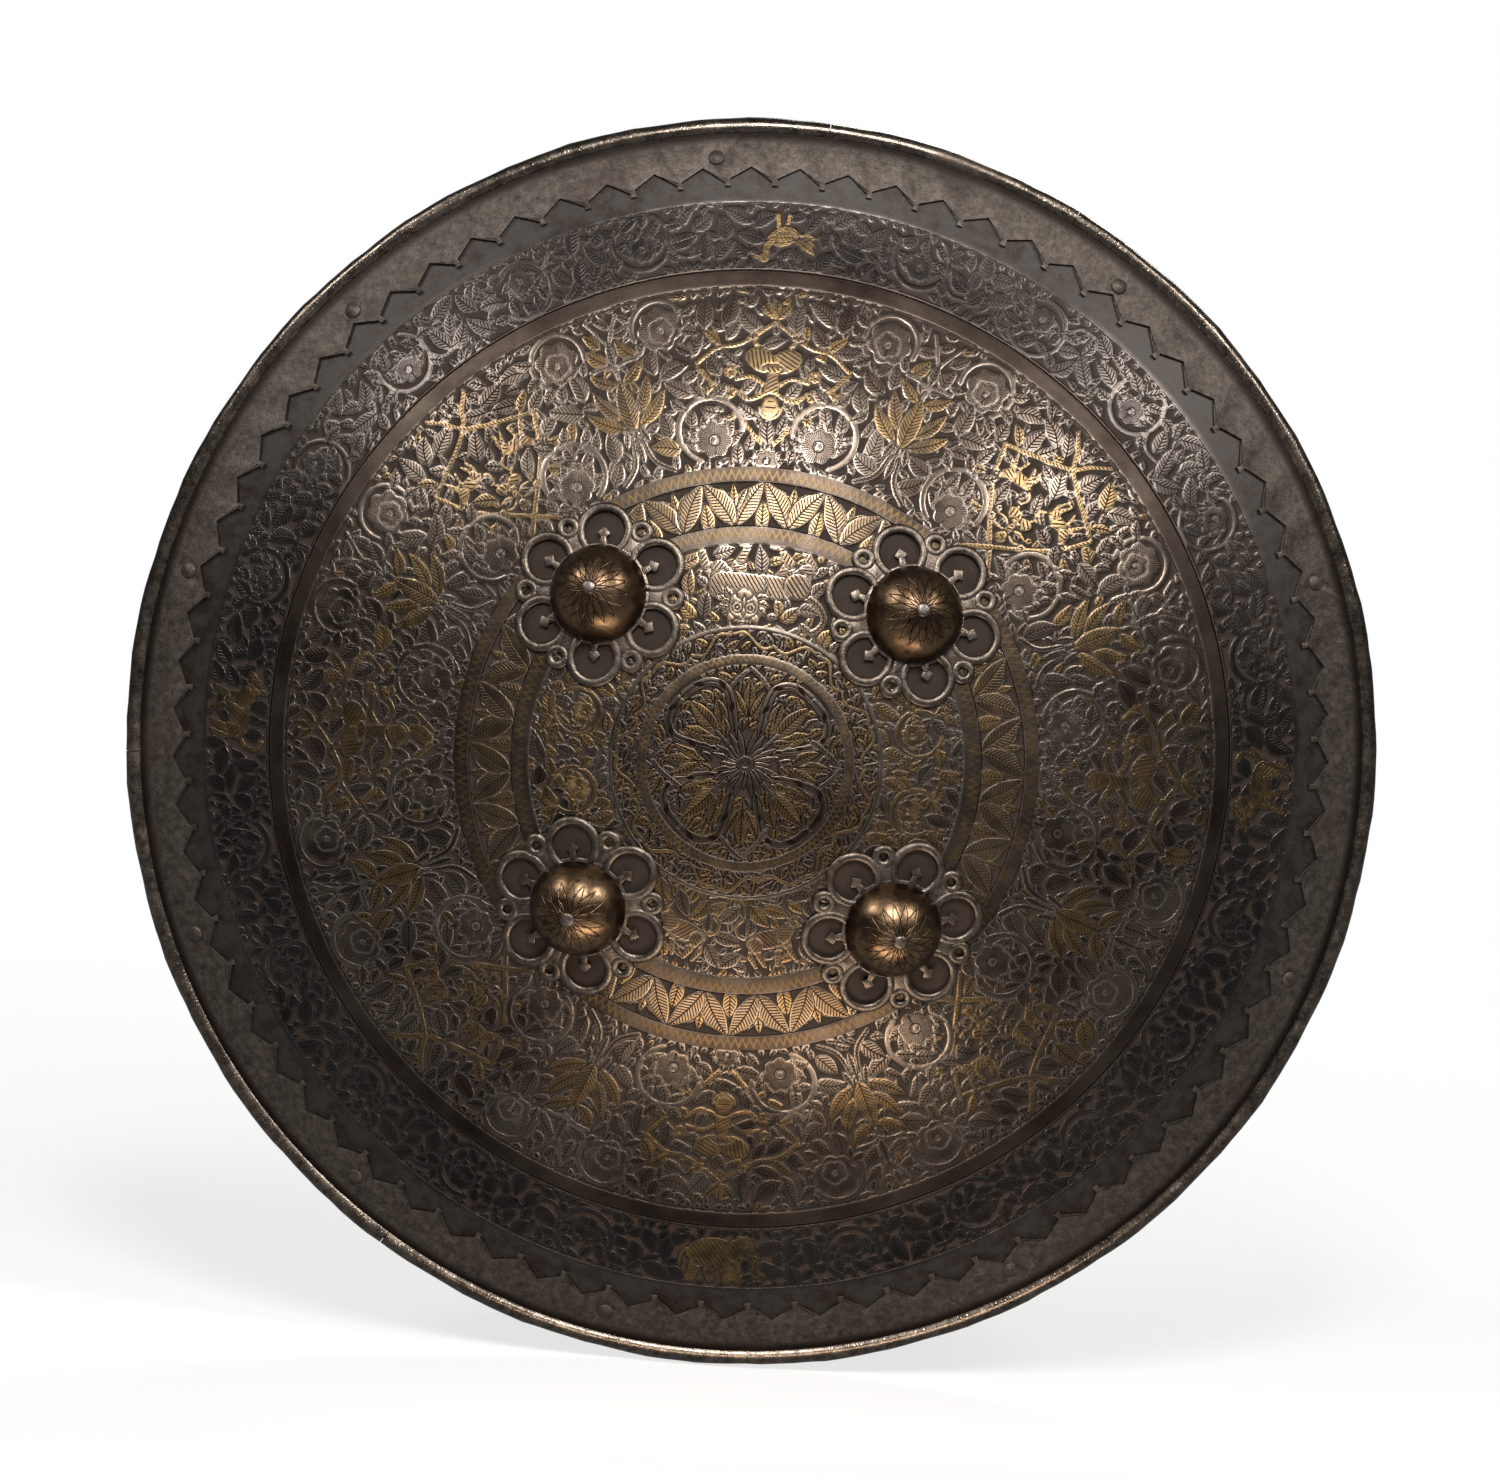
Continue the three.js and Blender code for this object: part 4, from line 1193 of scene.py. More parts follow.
        relief.fill_pockets(rng, 14.0, 35.6, 0.9, 2.2, 0.5)
        for k in range(24):
            ray = Spot(relief, 0.0, 15 * k, reach=20)
            ray.leaf((0, 2.2), (0, 12.6 if k % 3 else 9.0), 1.9, 0.0, Tool(gap=0.45, lined=False))
        relief.flat_ring(35.7, 40.0)
        relief.zigzag(37.85, 2.1, 110)
        relief.flat_ring(48.4, 52.0)
        middle = Spot(relief, 0.0, 0.0, reach=6)
        middle.hoop((0, 0), 2.0, 1.5, PLAIN)
        return relief

    def brim(self) -> ReliefField:
        """Lay out the plain brim under the border plate."""
        relief = ReliefField(209.5, 231.6, 12, 720)
        relief.flat_ring(200.0, 240.0)
        return relief

    def clear_bosses(self, relief: ReliefField) -> None:
        """Leave the ground plain where a rosette covers it.

        Args:
            relief: Field that is cut.
        """
        for quarter in range(4):
            spot = Spot(relief, BOSS_RADIUS, 45 + 90 * quarter, reach=36)
            outside = np.hypot(spot.u, spot.v) - self.boss_clear
            first = petal_turn(quarter)
            for petal in range(PETALS):
                turn = first + petal * TURN / PETALS
                u, v = -PETAL_CENTRE * math.sin(turn), PETAL_CENTRE * math.cos(turn)
                outside = np.minimum(outside, np.hypot(spot.u - u, spot.v - v) - self.window)
            relief.raised[spot.where] = np.minimum(relief.raised[spot.where], np.maximum(outside, -FAR / 5))
            relief.write(spot.where, outside < 0, inlay=FAR)

    def shell(self, relief: ReliefField, inner: float, outer: float, name: str) -> bpy.types.Object:
        """Make one ring of the bowl as a closed piece.

        A relief this fine can't be pushed up with operators one face at a time, so the points of
        the ring are written straight from the pattern's distances.

        Args:
            relief: Field with the pattern.
            inner: Inner radius.
            outer: Outer radius.
            name: Name of the piece.

        Returns:
            The ring, with the pattern's distances as attributes.
        """
        rows = np.flatnonzero((relief.radii >= inner - 1e-6) & (relief.radii <= outer + 1e-6))
        raised = relief.raised[rows]
        dip = self.groove * (1 - np.clip((raised + 0.3) / 0.5, 0, 1))
        dip += self.recess * np.clip((-0.25 - raised) / 0.6, 0, 1)
        dip += self.pillow * (1 - np.clip(raised / 0.7, 0, 1))
        # the outer band is the most worn
        worn = np.interp(relief.radii[rows], self.wear_radii, (1.0, self.worn_depth))
        dip = dip * worn[:, None] + self.skin
        tilt = np.arctan(BOWL.slope(relief.radii[rows]))[:, None]
        distance = np.hypot(relief.x[rows], relief.z[rows])
        inward = distance - dip * np.sin(tilt)
        inward[[0, -1]] = distance[[0, -1]]
        share = inward / distance
        front = np.stack([
            relief.x[rows] * share,
            BOWL.height(relief.radii[rows])[:, None] + dip * np.cos(tilt),
            relief.z[rows] * share,
        ], axis=-1)
        radii = np.linspace(relief.radii[rows[-1]], relief.radii[rows[0]], self.rear_rows)
        angles = np.arange(relief.columns) * TURN / relief.columns
        tilt = np.arctan(BOWL.slope(radii))[:, None]
        depth = BOWL.height(radii)[:, None] + BOWL.wall * np.ones((1, relief.columns))
        back = np.stack([radii[:, None] * np.sin(angles), depth, radii[:, None] * np.cos(angles)], axis=-1)
        points = np.concatenate([front, back]).reshape(-1, 3) * MM
        count, columns = len(rows) + self.rear_rows, relief.columns
        closed = inner > 1.0
        faces = round_faces(count, columns, closed)
        if not closed:
            tip, rear = len(points), (count - 1) * columns
            here = np.arange(columns)
            beside = np.roll(here, -1)
            faces += np.stack([np.full(columns, tip), beside, here], axis=-1).tolist()
            faces += np.stack([rear + here, rear + beside, np.full(columns, tip + 1)], axis=-1).tolist()
            middle = float(BOWL.height(0.0))
            ends = [[0, (middle + depth) * MM, 0] for depth in (self.recess, BOWL.wall)]
            points = np.vstack([points, ends])
        mesh = bpy.data.meshes.new(name)
        mesh.from_pydata(points.tolist(), [], faces)
        for key, filler in zip(RELIEF, (5.0, FAR, 0.5, 0.0, FAR)):
            values = np.full(len(points), filler, np.float32)
            values[: raised.size] = getattr(relief, key)[rows].ravel()
            layer = mesh.attributes.new(key, "FLOAT", "POINT")
            layer.data.foreach_set("value", values)
        piece = linked(name, mesh)
        smooth(piece, 55)
        return piece

    def make(self, material: bpy.types.Material) -> None:
        """Make all rings of the bowl.

        Args:
            material: Chiselled steel.
        """
        main = self.main_field()
        rings = (
            (self.roundel(), 0.5, 49.0, "bowl_roundel"),
            (self.animal_ring(), 49.0, 80.0, "bowl_animal_ring"),
            (self.petal_ring(), 80.0, 107.0, "bowl_petal_ring"),
            (main, 107.0, 143.0, "bowl_field_inner"),
            (main, 143.0, 179.0, "bowl_field_outer"),
            (self.scroll_ring(), 179.0, 209.5, "bowl_scroll_ring"),
            (self.brim(), 209.5, 231.6, "bowl_brim"),
        )
        for relief, inner, outer, name in rings:
            self.clear_bosses(relief)
            ends = (float(relief.radii[np.abs(relief.radii - end).argmin()]) for end in (inner, outer))
            fit_out(self.shell(relief, *ends, name), ROOT, material, ["shield_bowl"])


def copy_of_node(
    node: str, name: str, bevel: float, reshape: Callable[[Vector], Vector]
) -> bpy.types.Object:
    """Copy a solid whose outline is right, and round its edges.

    Args:
        node: CAD node.
        name: Name of the copy.
        bevel: Width of the rounding, in millimetres.
        reshape: Moves a point of the outline.

    Returns:
        The copy at the origin.
    """
    piece = placed_copy(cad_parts[node], name, Matrix.Identity(4))
    for vertex in piece.data.vertices:
        vertex.co = reshape(vertex.co)
    with editing(piece, everything=True):
        bpy.ops.mesh.remove_doubles(threshold=1e-6)
        bpy.ops.mesh.dissolve_limited(angle_limit=math.radians(1.5))
    round_edges(piece, bevel, 35)
    smooth(piece, 40)
    return piece


@dataclass
class BorderAndRim:
    """The toothed border plate, its rivets and the rolled rim."""

    seam_degrees: tuple[float, ...] = (3.6, 27.8, 212.8, 265.7)
    seam_gap: float = 0.35
    section_radius: float = 3.6
    centre_radius: float = 231.308
    centre_depth: float = 32.063
    rear_flat: float = 0.4
    section_sides: int = 28
    step_degrees: float = 1.5
    beaten: float = 0.3
    dents: tuple[Place, ...] = ((23, 0.22, 0.0), (61, 0.12, 1.3), (127, 0.08, 0.0))
    rivet_radius: float = 219.5
    rivet_head: float = 3.0
    rivet_flange: float = 0.3
    rivet_dome: tuple[Point, ...] = ((0.22, 0.94), (0.3, 0.8), (0.2, 0.6), (0.12, 0.35))
    rivet_step: float = 1.6
    rivet_tail: tuple[Point, ...] = ((-4.2, 1.0), (-0.01, 1.4), (-0.7, 0.6))
    rivet_seat: float = 1.35
    rivet_degrees: tuple[float, ...] = (353, 34.8, 69.8, 109.4, 149.7, 190.5, 218.7, 247.5, 283.7, 314)
    neck_radius: float = 214.0
    tooth_pitch: float = TURN / 75
    tooth_axis: float = math.radians(3.6)
    filed: float = 0.68

    def rim_length(self, number: int) -> bpy.types.Object:
        """Spin the rolled section round one length of the rim.

        Args:
            number: Which length, from 0.

        Returns:
            The closed length of rim.
        """
        start = self.seam_degrees[number]
        end = self.seam_degrees[(number + 1) % 4] + (360 if number == 3 else 0)
        gap = math.degrees(self.seam_gap / self.centre_radius / 2)
        start, end = start + gap, end - gap
        turn = math.radians(start)
        piece = primitive(
            bpy.ops.mesh.primitive_circle_add, f"rim_length_{number + 1}",
            vertices=self.section_sides, radius=self.section_radius * MM, fill_type="NGON",
            location=(self.centre_radius * MM * math.sin(turn), self.centre_depth * MM,
                      self.centre_radius * MM * math.cos(turn)),
            rotation=(0, turn + math.pi / 2, 0),
        )
        with editing(piece, everything=True):
            bpy.ops.mesh.spin(
                steps=round((end - start) / self.step_degrees), angle=math.radians(end - start),
                center=(0, 0, 0), axis=(0, -1, 0),
            )
            bpy.ops.mesh.select_all(action="SELECT")
            bpy.ops.mesh.remove_doubles(threshold=1e-6)
            bpy.ops.mesh.normals_make_consistent(inside=False)
        flat = (self.centre_depth + self.section_radius - self.rear_flat) * MM
        places = places_of(piece)
        radius = np.hypot(places[:, 0], places[:, 2])
        angle = np.arctan2(places[:, 0], places[:, 2])
        # a rolled edge is never quite even: it was closed with a hammer
        dent = sum(size * np.sin(count * angle + phase) for count, size, phase in self.dents)
        outward = (radius / MM - self.centre_radius) / self.section_radius
        radius = radius - (self.beaten + dent) * MM * np.clip(outward, 0, 1)
        places[:, 0], places[:, 2] = radius * np.sin(angle), radius * np.cos(angle)
        places[:, 1] = np.minimum(places[:, 1], flat)
        set_places(piece, places)
        smooth(piece, 50)
        return piece

    def slim_tooth(self, place: Vector) -> Vector:
        """File a tooth's neck and knob narrower, as they are on the old plate.

        Args:
            place: Point of the plate.

        Returns:
            The point, nearer to its tooth's axis where it is on neck or knob.
        """
        if math.hypot(place.x, place.z) > self.neck_radius * MM:
            return place
        off = (math.atan2(place.x, place.z) - self.tooth_axis) % self.tooth_pitch
        off = (off - self.tooth_pitch if off > self.tooth_pitch / 2 else off) * self.filed
        return Matrix.Rotation(-off, 3, "Y") @ place

    def rivet(self) -> bpy.types.Object:
        """Model one round-headed rivet, its head up the z axis."""
        piece = primitive(
            bpy.ops.mesh.primitive_cylinder_add, "rivet_model",
            vertices=24, radius=self.rivet_head * MM, depth=self.rivet_flange * MM,
            location=(0, 0, self.rivet_flange / 2 * MM),
        )
        with editing(piece):
            last = 1.0
            for rise, size in self.rivet_dome:
                pick(piece, lambda centre, normal: normal.z > 0.9)
                grow(rise, size / last)
                last = size
            pick(piece, lambda centre, normal: normal.z < -0.9)
            bpy.ops.mesh.inset(thickness=self.rivet_step * MM)
            for rise, size in self.rivet_tail:
                grow(rise, size)
        return as_model(piece, 50)

    def make(self, border: bpy.types.Material, rim: bpy.types.Material) -> None:
        """Make the plate, the rim's four lengths and the ten rivets.

        Args:
            border: Finish of plate and rivets.
            rim: Finish of the rim.
        """
        plate = copy_of_node("border_plate", "border_toothed_plate", 0.42, self.slim_tooth)
        fit_out(plate, ROOT, border, ["border_plate"])
        for number in range(4):
            piece = self.rim_length(number)
            fit_out(piece, ROOT, rim, [f"rim_binding_{number + 1}"])
        model = self.rivet()
        for number, degrees in enumerate(self.rivet_degrees, start=1):
            seat = BOWL.seat(self.rivet_radius, degrees) @ Matrix.Translation((0, 0, self.rivet_seat * MM))
            piece = placed_copy(model, f"round_rivet_{number:02d}", seat)
            fit_out(piece, ROOT, border, [f"border_rivet_{number:02d}"])
        drop(model)


@dataclass
class Bosses:
    """Four domed bosses on pierced rosettes, with the eye bolts that hold them."""

    dome_radius: float = 18.0
    dome_height: float = 15.5
    dome_wall: float = 1.3
    dome_seat: float = 1.9
    peen_radius: float = 2.7
    peen_seat: float = 17.6
    stem_radius: float = 2.0
    shoulder_radius: float = 3.4
    shoulder_seat: float = -5.3
    eye_radius: float = 7.0
    eye_wire: float = 1.5
    eye_depth: float = 14.55
    washer_radius: float = 9.0
    washer_seat: float = -3.7
    washer_thickness: float = 1.4
    stem_play: float = 0.4
    plate_radius: float = 18.8
    plate_rise: float = 0.9
    plate_thickness: float = 1.1
    petal_radius: float = 8.9
    petal_wire: float = 1.6
    lobe_centre: float = 27.3
    lobe_radius: float = 3.0
    lobe_wire: float = 1.5
    flatness: float = 0.58

    def hoop(self, centre: float, radius: float, wire: float, name: str) -> bpy.types.Object:
        """Hammer one half-round hoop of the rosette, up the y axis.

        Args:
            centre: Middle along y.
            radius: Radius of its middle line.
            wire: Half the width of its section.
            name: Its name.

        Returns:
            The hoop.
        """
        middle = (0, centre * MM, self.plate_rise * MM)
        piece = primitive(
            bpy.ops.mesh.primitive_torus_add, name,
            major_segments=44, minor_segments=12, major_radius=radius * MM, minor_radius=wire * MM,
            location=middle,
        )
        with editing(piece, everything=True):
            bpy.ops.transform.resize(value=(1, 1, self.flatness), center_override=middle)
        return piece

    def slab(self, name: str, centre: float, length: float, width: float, taper: float) -> bpy.types.Object:
        """File one flat arm of the rosette, up the y axis.

        Args:
            name: Its name.
            centre: Middle along y.
            length: Along y.
            width: Across, at its inner end.
            taper: Share of the width at its outer end.

        Returns:
            The arm.
        """
        place = (0, centre * MM, self.plate_rise * MM)
        piece = primitive(
            bpy.ops.mesh.primitive_cube_add, name,
            size=MM, location=place, scale=(width, length, self.plate_thickness)
        )
        with editing(piece):
            pick(piece, lambda middle, normal: normal.y > 0.9)
            bpy.ops.transform.resize(value=(taper, 1, 1), center_override=(0, 0, 0))
        round_edges(piece, 0.25, 50)
        return piece

    def rosette(self) -> bpy.types.Object:
        """Make one pierced rosette: six hoops with tongues, and six pierced lobes between them."""
        disc = primitive(
            bpy.ops.mesh.primitive_cylinder_add, "rosette_disc",
            vertices=72, radius=self.plate_radius * MM, depth=self.plate_thickness * MM,
            location=(0, 0, self.plate_rise * MM),
        )
        round_edges(disc, 0.3, 50)
        lozenge = primitive(
            bpy.ops.mesh.primitive_cylinder_add, "tongue_head",
            vertices=4, radius=2.5 * MM, depth=self.plate_thickness * MM,
            location=(0, 22.4 * MM, self.plate_rise * MM),
        )
        round_edges(lozenge, 0.25, 50)
        in_line = [
            self.hoop(PETAL_CENTRE, self.petal_radius, self.petal_wire, "petal_hoop"), lozenge,
            self.slab("tongue_neck", 19.6, 3.6, 3.4, 0.55),
        ]
        between = [
            self.hoop(self.lobe_centre, self.lobe_radius, self.lobe_wire, "lobe_hoop"),
            self.slab("web", 19.8, 9.6, 7.4, 0.9),
        ]
        parts = [disc]
        for number in range(2 * PETALS):
            for part in (between if number % 2 else in_line):
                matrix = Matrix.Rotation(number * TURN / (2 * PETALS), 4, "Z")
                parts.append(placed_copy(part, f"{part.name}_{number}", matrix))
        for part in in_line + between:
            drop(part)
        piece = join(parts, "rosette_model")
        return as_model(piece)

    def dome(self) -> bpy.types.Object:
        """Raise one hollow dome: a sphere cut off, given its wall and a turned edge."""
        sphere = (self.dome_radius**2 + self.dome_height**2) / (2 * self.dome_height)
        piece = primitive(
            bpy.ops.mesh.primitive_uv_sphere_add, "dome_model",
            segments=72, ring_count=48, radius=sphere * MM, location=(0, 0, (self.dome_height - sphere) * MM)
        )
        with editing(piece, everything=True):
            bpy.ops.mesh.bisect(plane_co=(0, 0, 0), plane_no=(0, 0, 1), clear_inner=True)
            bpy.ops.mesh.select_all(action="SELECT")
            bpy.ops.mesh.remove_doubles(threshold=1e-6)
        modify(piece, "SOLIDIFY", thickness=self.dome_wall * MM, offset=-1)
        round_edges(piece, 0.35, 60)
        return as_model(piece)

    def eye_bolt(self) -> bpy.types.Object:
        """Forge one eye bolt: peened head, stem, shoulder and round eye."""
        stem = primitive(
            bpy.ops.mesh.primitive_cylinder_add, "stem_model",
            vertices=24, radius=self.stem_radius * MM, depth=(self.peen_seat - self.shoulder_seat) * MM,
            location=(0, 0, (self.peen_seat + self.shoulder_seat) / 2 * MM),
        )
        spread = self.peen_radius / self.stem_radius
        with editing(stem):
            pick(stem, lambda centre, normal: normal.z > 0.9)
            for rise, size in ((0.01, spread), (0.45, 1.0), (0.4, 0.86), (0.25, 0.7), (0.1, 0.5)):
                grow(rise, size)
            pick(stem, lambda centre, normal: normal.z < -0.9 and centre.z < 0)
            swell = self.shoulder_radius / self.stem_radius
            for rise, size in ((0.01, swell), (0.9, 1.0), (0.7, 0.72), (0.5, 0.8)):
                grow(-rise, size)
        eye = primitive(
            bpy.ops.mesh.primitive_torus_add, "eye_model",
            major_segments=48, minor_segments=16, major_radius=self.eye_radius * MM,
            minor_radius=self.eye_wire * MM, location=(0, 0, -self.eye_depth * MM),
            rotation=(0, math.pi / 2, 0),
        )
        with editing(eye):
            pick(eye, lambda centre, normal: centre.z > (-self.eye_depth + 5) * MM)
            bpy.ops.transform.resize(value=(1.18, 1, 1), center_override=(0, 0, 0))
        piece = join([stem, eye], "eye_bolt_model")
        return as_model(piece)

    def washer(self) -> bpy.types.Object:
        """Model one dished washer with a rounded edge."""
        piece = primitive(
            bpy.ops.mesh.primitive_cylinder_add, "washer_model",
            vertices=48, radius=self.washer_radius * MM, depth=self.washer_thickness * MM,
            location=(0, 0, (self.washer_seat - self.washer_thickness / 2) * MM),
        )
        with editing(piece):
            pick(piece, lambda centre, normal: abs(normal.z) > 0.9)
            flat = self.washer_radius - self.stem_radius - self.stem_play
            bpy.ops.mesh.inset(thickness=flat * MM, use_individual=True)
            bpy.ops.mesh.bridge_edge_loops()
        round_edges(piece, 0.35, 50)
        return as_model(piece)

    def eye_twist(self, degrees: float) -> float:
        """Return the turn about the stem that points the eye's hole sideways."""
        seat = BOWL.seat(BOSS_RADIUS, degrees)
        sideways = seat.to_3x3().inverted() @ Vector((1, 0, 0))
        return -math.degrees(math.atan2(sideways.y, sideways.x))

    def make(self, finishes: dict[Slot, bpy.types.Material]) -> None:
        """Make the four bosses with rosette, bolt and washer.

        Args:
            finishes: Materials by slot.
        """
        rosette, dome, bolt, washer = self.rosette(), self.dome(), self.eye_bolt(), self.washer()
        for number, name in enumerate(BOSS_NAMES):
            degrees = 45 + 90 * number
            seat = BOWL.seat(BOSS_RADIUS, degrees)
            turned = Matrix.Rotation(petal_turn(number), 4, "Z")
            plate = placed_copy(rosette, f"{name}_pierced_rosette", turned)
            drape(plate, seat)
            fit_out(plate, ROOT, finishes[Slot.ROSETTE], [f"{name}_rosette"])
            lift = Matrix.Translation((0, 0, self.dome_seat * MM))
            twist = Matrix.Rotation(math.radians(17 * number), 4, "Z")
            piece = placed_copy(dome, f"{name}_dome", seat @ lift @ twist)
            fit_out(piece, ROOT, finishes[Slot.BOSS], [f"{name}_boss"])
            turned = BOWL.seat(BOSS_RADIUS, degrees, self.eye_twist(degrees))
            piece = placed_copy(bolt, f"{name}_forged_eye", turned)
            fit_out(piece, ROOT, finishes[Slot.IRON], [f"{name}_eye_bolt"])
            piece = placed_copy(washer, f"{name}_dished_washer", seat)
            fit_out(piece, ROOT, finishes[Slot.IRON], [f"{name}_washer"])
        for model in (rosette, dome, bolt, washer):
            drop(model)


@dataclass
class Grips:
    """Two bowed leather grips, each on two rings in the eyes."""

    pivot: tuple[float, float, float] = (54.63, -25.254, 54.63)
    eye_radius: float = 7.0
    eye_wire: float = 1.5
    play: float = 0.5
    ring_radius: float = 10.0
    ring_wire: float = 1.3
    lean: float = 50.0
    bow: float = 50.0
    lead_in: float = 20.0
    reach: float = 20.0
    end_radius: float = 3.6
    full_radius: float = 8.0
    fullness: float = 0.6
    rest: float = 25.0
    stations: int = 120
    sides: int = 28
    loop_radius: float = 4.2
    loop_bore: float = 2.0
    loop_width: float = 6.0
    swell: float = 0.22
    spiral: float = 5.2
    seam_depth: float = 0.5
    seam_width: float = 0.16

    def way(self) -> Vector:
        """Return the way that the upper ring hangs, in the grip's own plane."""
        lean = math.radians(self.lean)
        return Vector((0, math.sin(lean), -math.cos(lean)))

    def hang(self) -> Vector:
        """Return where the upper ring passes through its eye."""
        return Vector((0, 0, self.pivot[2] - self.eye_radius + self.eye_wire + self.play + self.ring_wire))

    def path(self) -> np.ndarray:
        """Return points along the grip, from the upper ring to the lower one."""
        start = self.hang() + self.way() * 2 * self.ring_radius
        knots = [start, start + self.way() * self.lead_in, Vector((0, self.bow, self.reach)),
                 Vector((0, self.bow, 0))]
        t = np.linspace(0, 1, self.stations // 2 + 1)[:, None]
        a, b, c, d = (np.array(knot) for knot in knots)
        upper = a * (1 - t) ** 3 + 3 * b * t * (1 - t) ** 2 + 3 * c * t**2 * (1 - t) + d * t**3
        lower = upper[::-1][1:] * np.array([1, 1, -1])
        return np.vstack([upper, lower])

    def grip_mesh(self, name: str) -> bpy.types.Object:
        """Make one leather grip as a closed padded tube with a sewn seam and a spiral binding.

        Args:
            name: Name of the piece.

        Returns:
            The grip in its own plane, at the origin.
        """
        path = self.path()
        steps = np.linalg.norm(np.diff(path, axis=0), axis=1)
        run = np.concatenate([[0], np.cumsum(steps)])
        share = run / run[-1]
        tangent = np.gradient(path, axis=0)
        tangent /= np.linalg.norm(tangent, axis=1)[:, None]
        side = np.array([1.0, 0, 0])
        out = np.cross(side, tangent)
        belly = np.sin(math.pi * share)
        radius = self.end_radius + (self.full_radius - self.end_radius) * belly ** self.fullness
        angle = np.arange(self.sides) * TURN / self.sides
        # the cord under the leather shows as a slow spiral, and the seam draws the leather in
        swell = self.swell * np.cos(run[:, None] / self.spiral * TURN - angle[None, :]) * belly[:, None]
        off = np.angle(np.exp(1j * (angle - math.pi / 2)))[None, :]
        seam = -self.seam_depth * np.exp(-((off / self.seam_width) ** 2))
        reach = radius[:, None] + swell + seam - 0.25
        points = (path[:, None, :] + reach[..., None] * (
            np.cos(angle)[None, :, None] * side + np.sin(angle)[None, :, None] * out[:, None, :]))
        count = len(path)
        last = (count - 1) * self.sides
        ends = [list(range(self.sides))[::-1], list(range(last, last + self.sides))]
        faces = round_faces(count, self.sides, False) + ends
        mesh = bpy.data.meshes.new(name)
        mesh.from_pydata((points.reshape(-1, 3) * MM).tolist(), [], faces)
        layer = mesh.attributes.new("wrap", "FLOAT_VECTOR", "POINT")
        wrap = np.stack([
            np.broadcast_to(run[:, None], reach.shape), np.cos(angle)[None, :] * reach,
            np.sin(angle)[None, :] * reach,
        ], axis=-1)
        layer.data.foreach_set("vector", wrap.astype(np.float32).ravel())
        piece = linked(name, mesh)
        with editing(piece, everything=True):
            bpy.ops.mesh.normals_make_consistent(inside=False)
        return piece

    def end_loop(self, end: Vector) -> bpy.types.Object:
        """Make the leather loop that holds a ring.

        Args:
            end: Its middle, in the grip's plane.

        Returns:
            The loop, with its place in its mesh.
        """
        wall = (self.loop_radius - self.loop_bore) / 2
        piece = primitive(
            bpy.ops.mesh.primitive_torus_add, "end_loop",
            major_segments=36, minor_segments=16, major_radius=(self.loop_bore + wall) * MM,
            minor_radius=wall * MM, location=end * MM, rotation=(0, math.pi / 2, 0),
        )
        with editing(piece, everything=True):
            ratio = self.loop_width / 2 / wall
            bpy.ops.transform.resize(value=(ratio, 1, 1), center_override=tuple(end * MM))
        return piece

    def ring(self) -> bpy.types.Object:
        """Forge the upper ring, slightly flattened where its ends were lapped."""
        middle = self.hang() + self.way() * self.ring_radius
        piece = primitive(
            bpy.ops.mesh.primitive_torus_add, "ring_model",
            major_segments=56, minor_segments=14, major_radius=self.ring_radius * MM,
            minor_radius=self.ring_wire * MM, location=middle * MM,
            rotation=(math.radians(self.lean) - math.pi / 2, 0, 0),
        )
        with editing(piece):
            pick(piece, lambda centre, normal: centre.x > (self.ring_radius - 2.2) * MM)
            lap = tuple((middle + Vector((self.ring_radius, 0, 0))) * MM)
            bpy.ops.transform.resize(value=(0.86, 1.0, 1.0), center_override=lap)
        smooth(piece, 45)
        return piece

    def swing(self, side: int) -> Matrix:
        """Return the place of one grip at rest.

        Args:
            side: -1 for the left grip, 1 for the right one.
        """
        move = Matrix.Translation(Vector((side * self.pivot[0], self.pivot[1], 0)) * MM)
        return move @ Matrix.Rotation(math.radians(side * self.rest), 4, "Z")

    def make(self, finishes: dict[Slot, bpy.types.Material]) -> None:
        """Make both grips and the four rings.

        Args:
            finishes: Materials by slot.
        """
        model = self.grip_mesh("grip_model")
        top = self.hang() + self.way() * 2 * self.ring_radius
        loops = [self.end_loop(top), self.end_loop(Vector((0, top.y, -top.z)))]
        model = join([model, *loops], "grip_model")
        smooth(model, 60)
        ring = self.ring()
        flip = Matrix.Diagonal((1, 1, -1, 1))
        for side, label in ((-1, "left"), (1, "right")):
            body = f"{label}_grip"
            mirror = Matrix.Diagonal((side, 1, 1, 1))
            place = self.swing(side)
            piece = placed_copy(model, f"{label}_leather_grip", place @ mirror)
            if side < 0:
                piece.data.flip_normals()
            fit_out(piece, body, finishes[Slot.LEATHER], [f"{label}_handle"])
            for level, matrix in (("top", place @ mirror), ("bottom", place @ mirror @ flip)):
                piece = placed_copy(ring, f"{level}_{label}_forged_ring", matrix)
                if matrix.determinant() < 0:
                    piece.data.flip_normals()
                fit_out(piece, body, finishes[Slot.IRON], [f"{level}_{label}_ring"])
        drop(model)
        drop(ring)


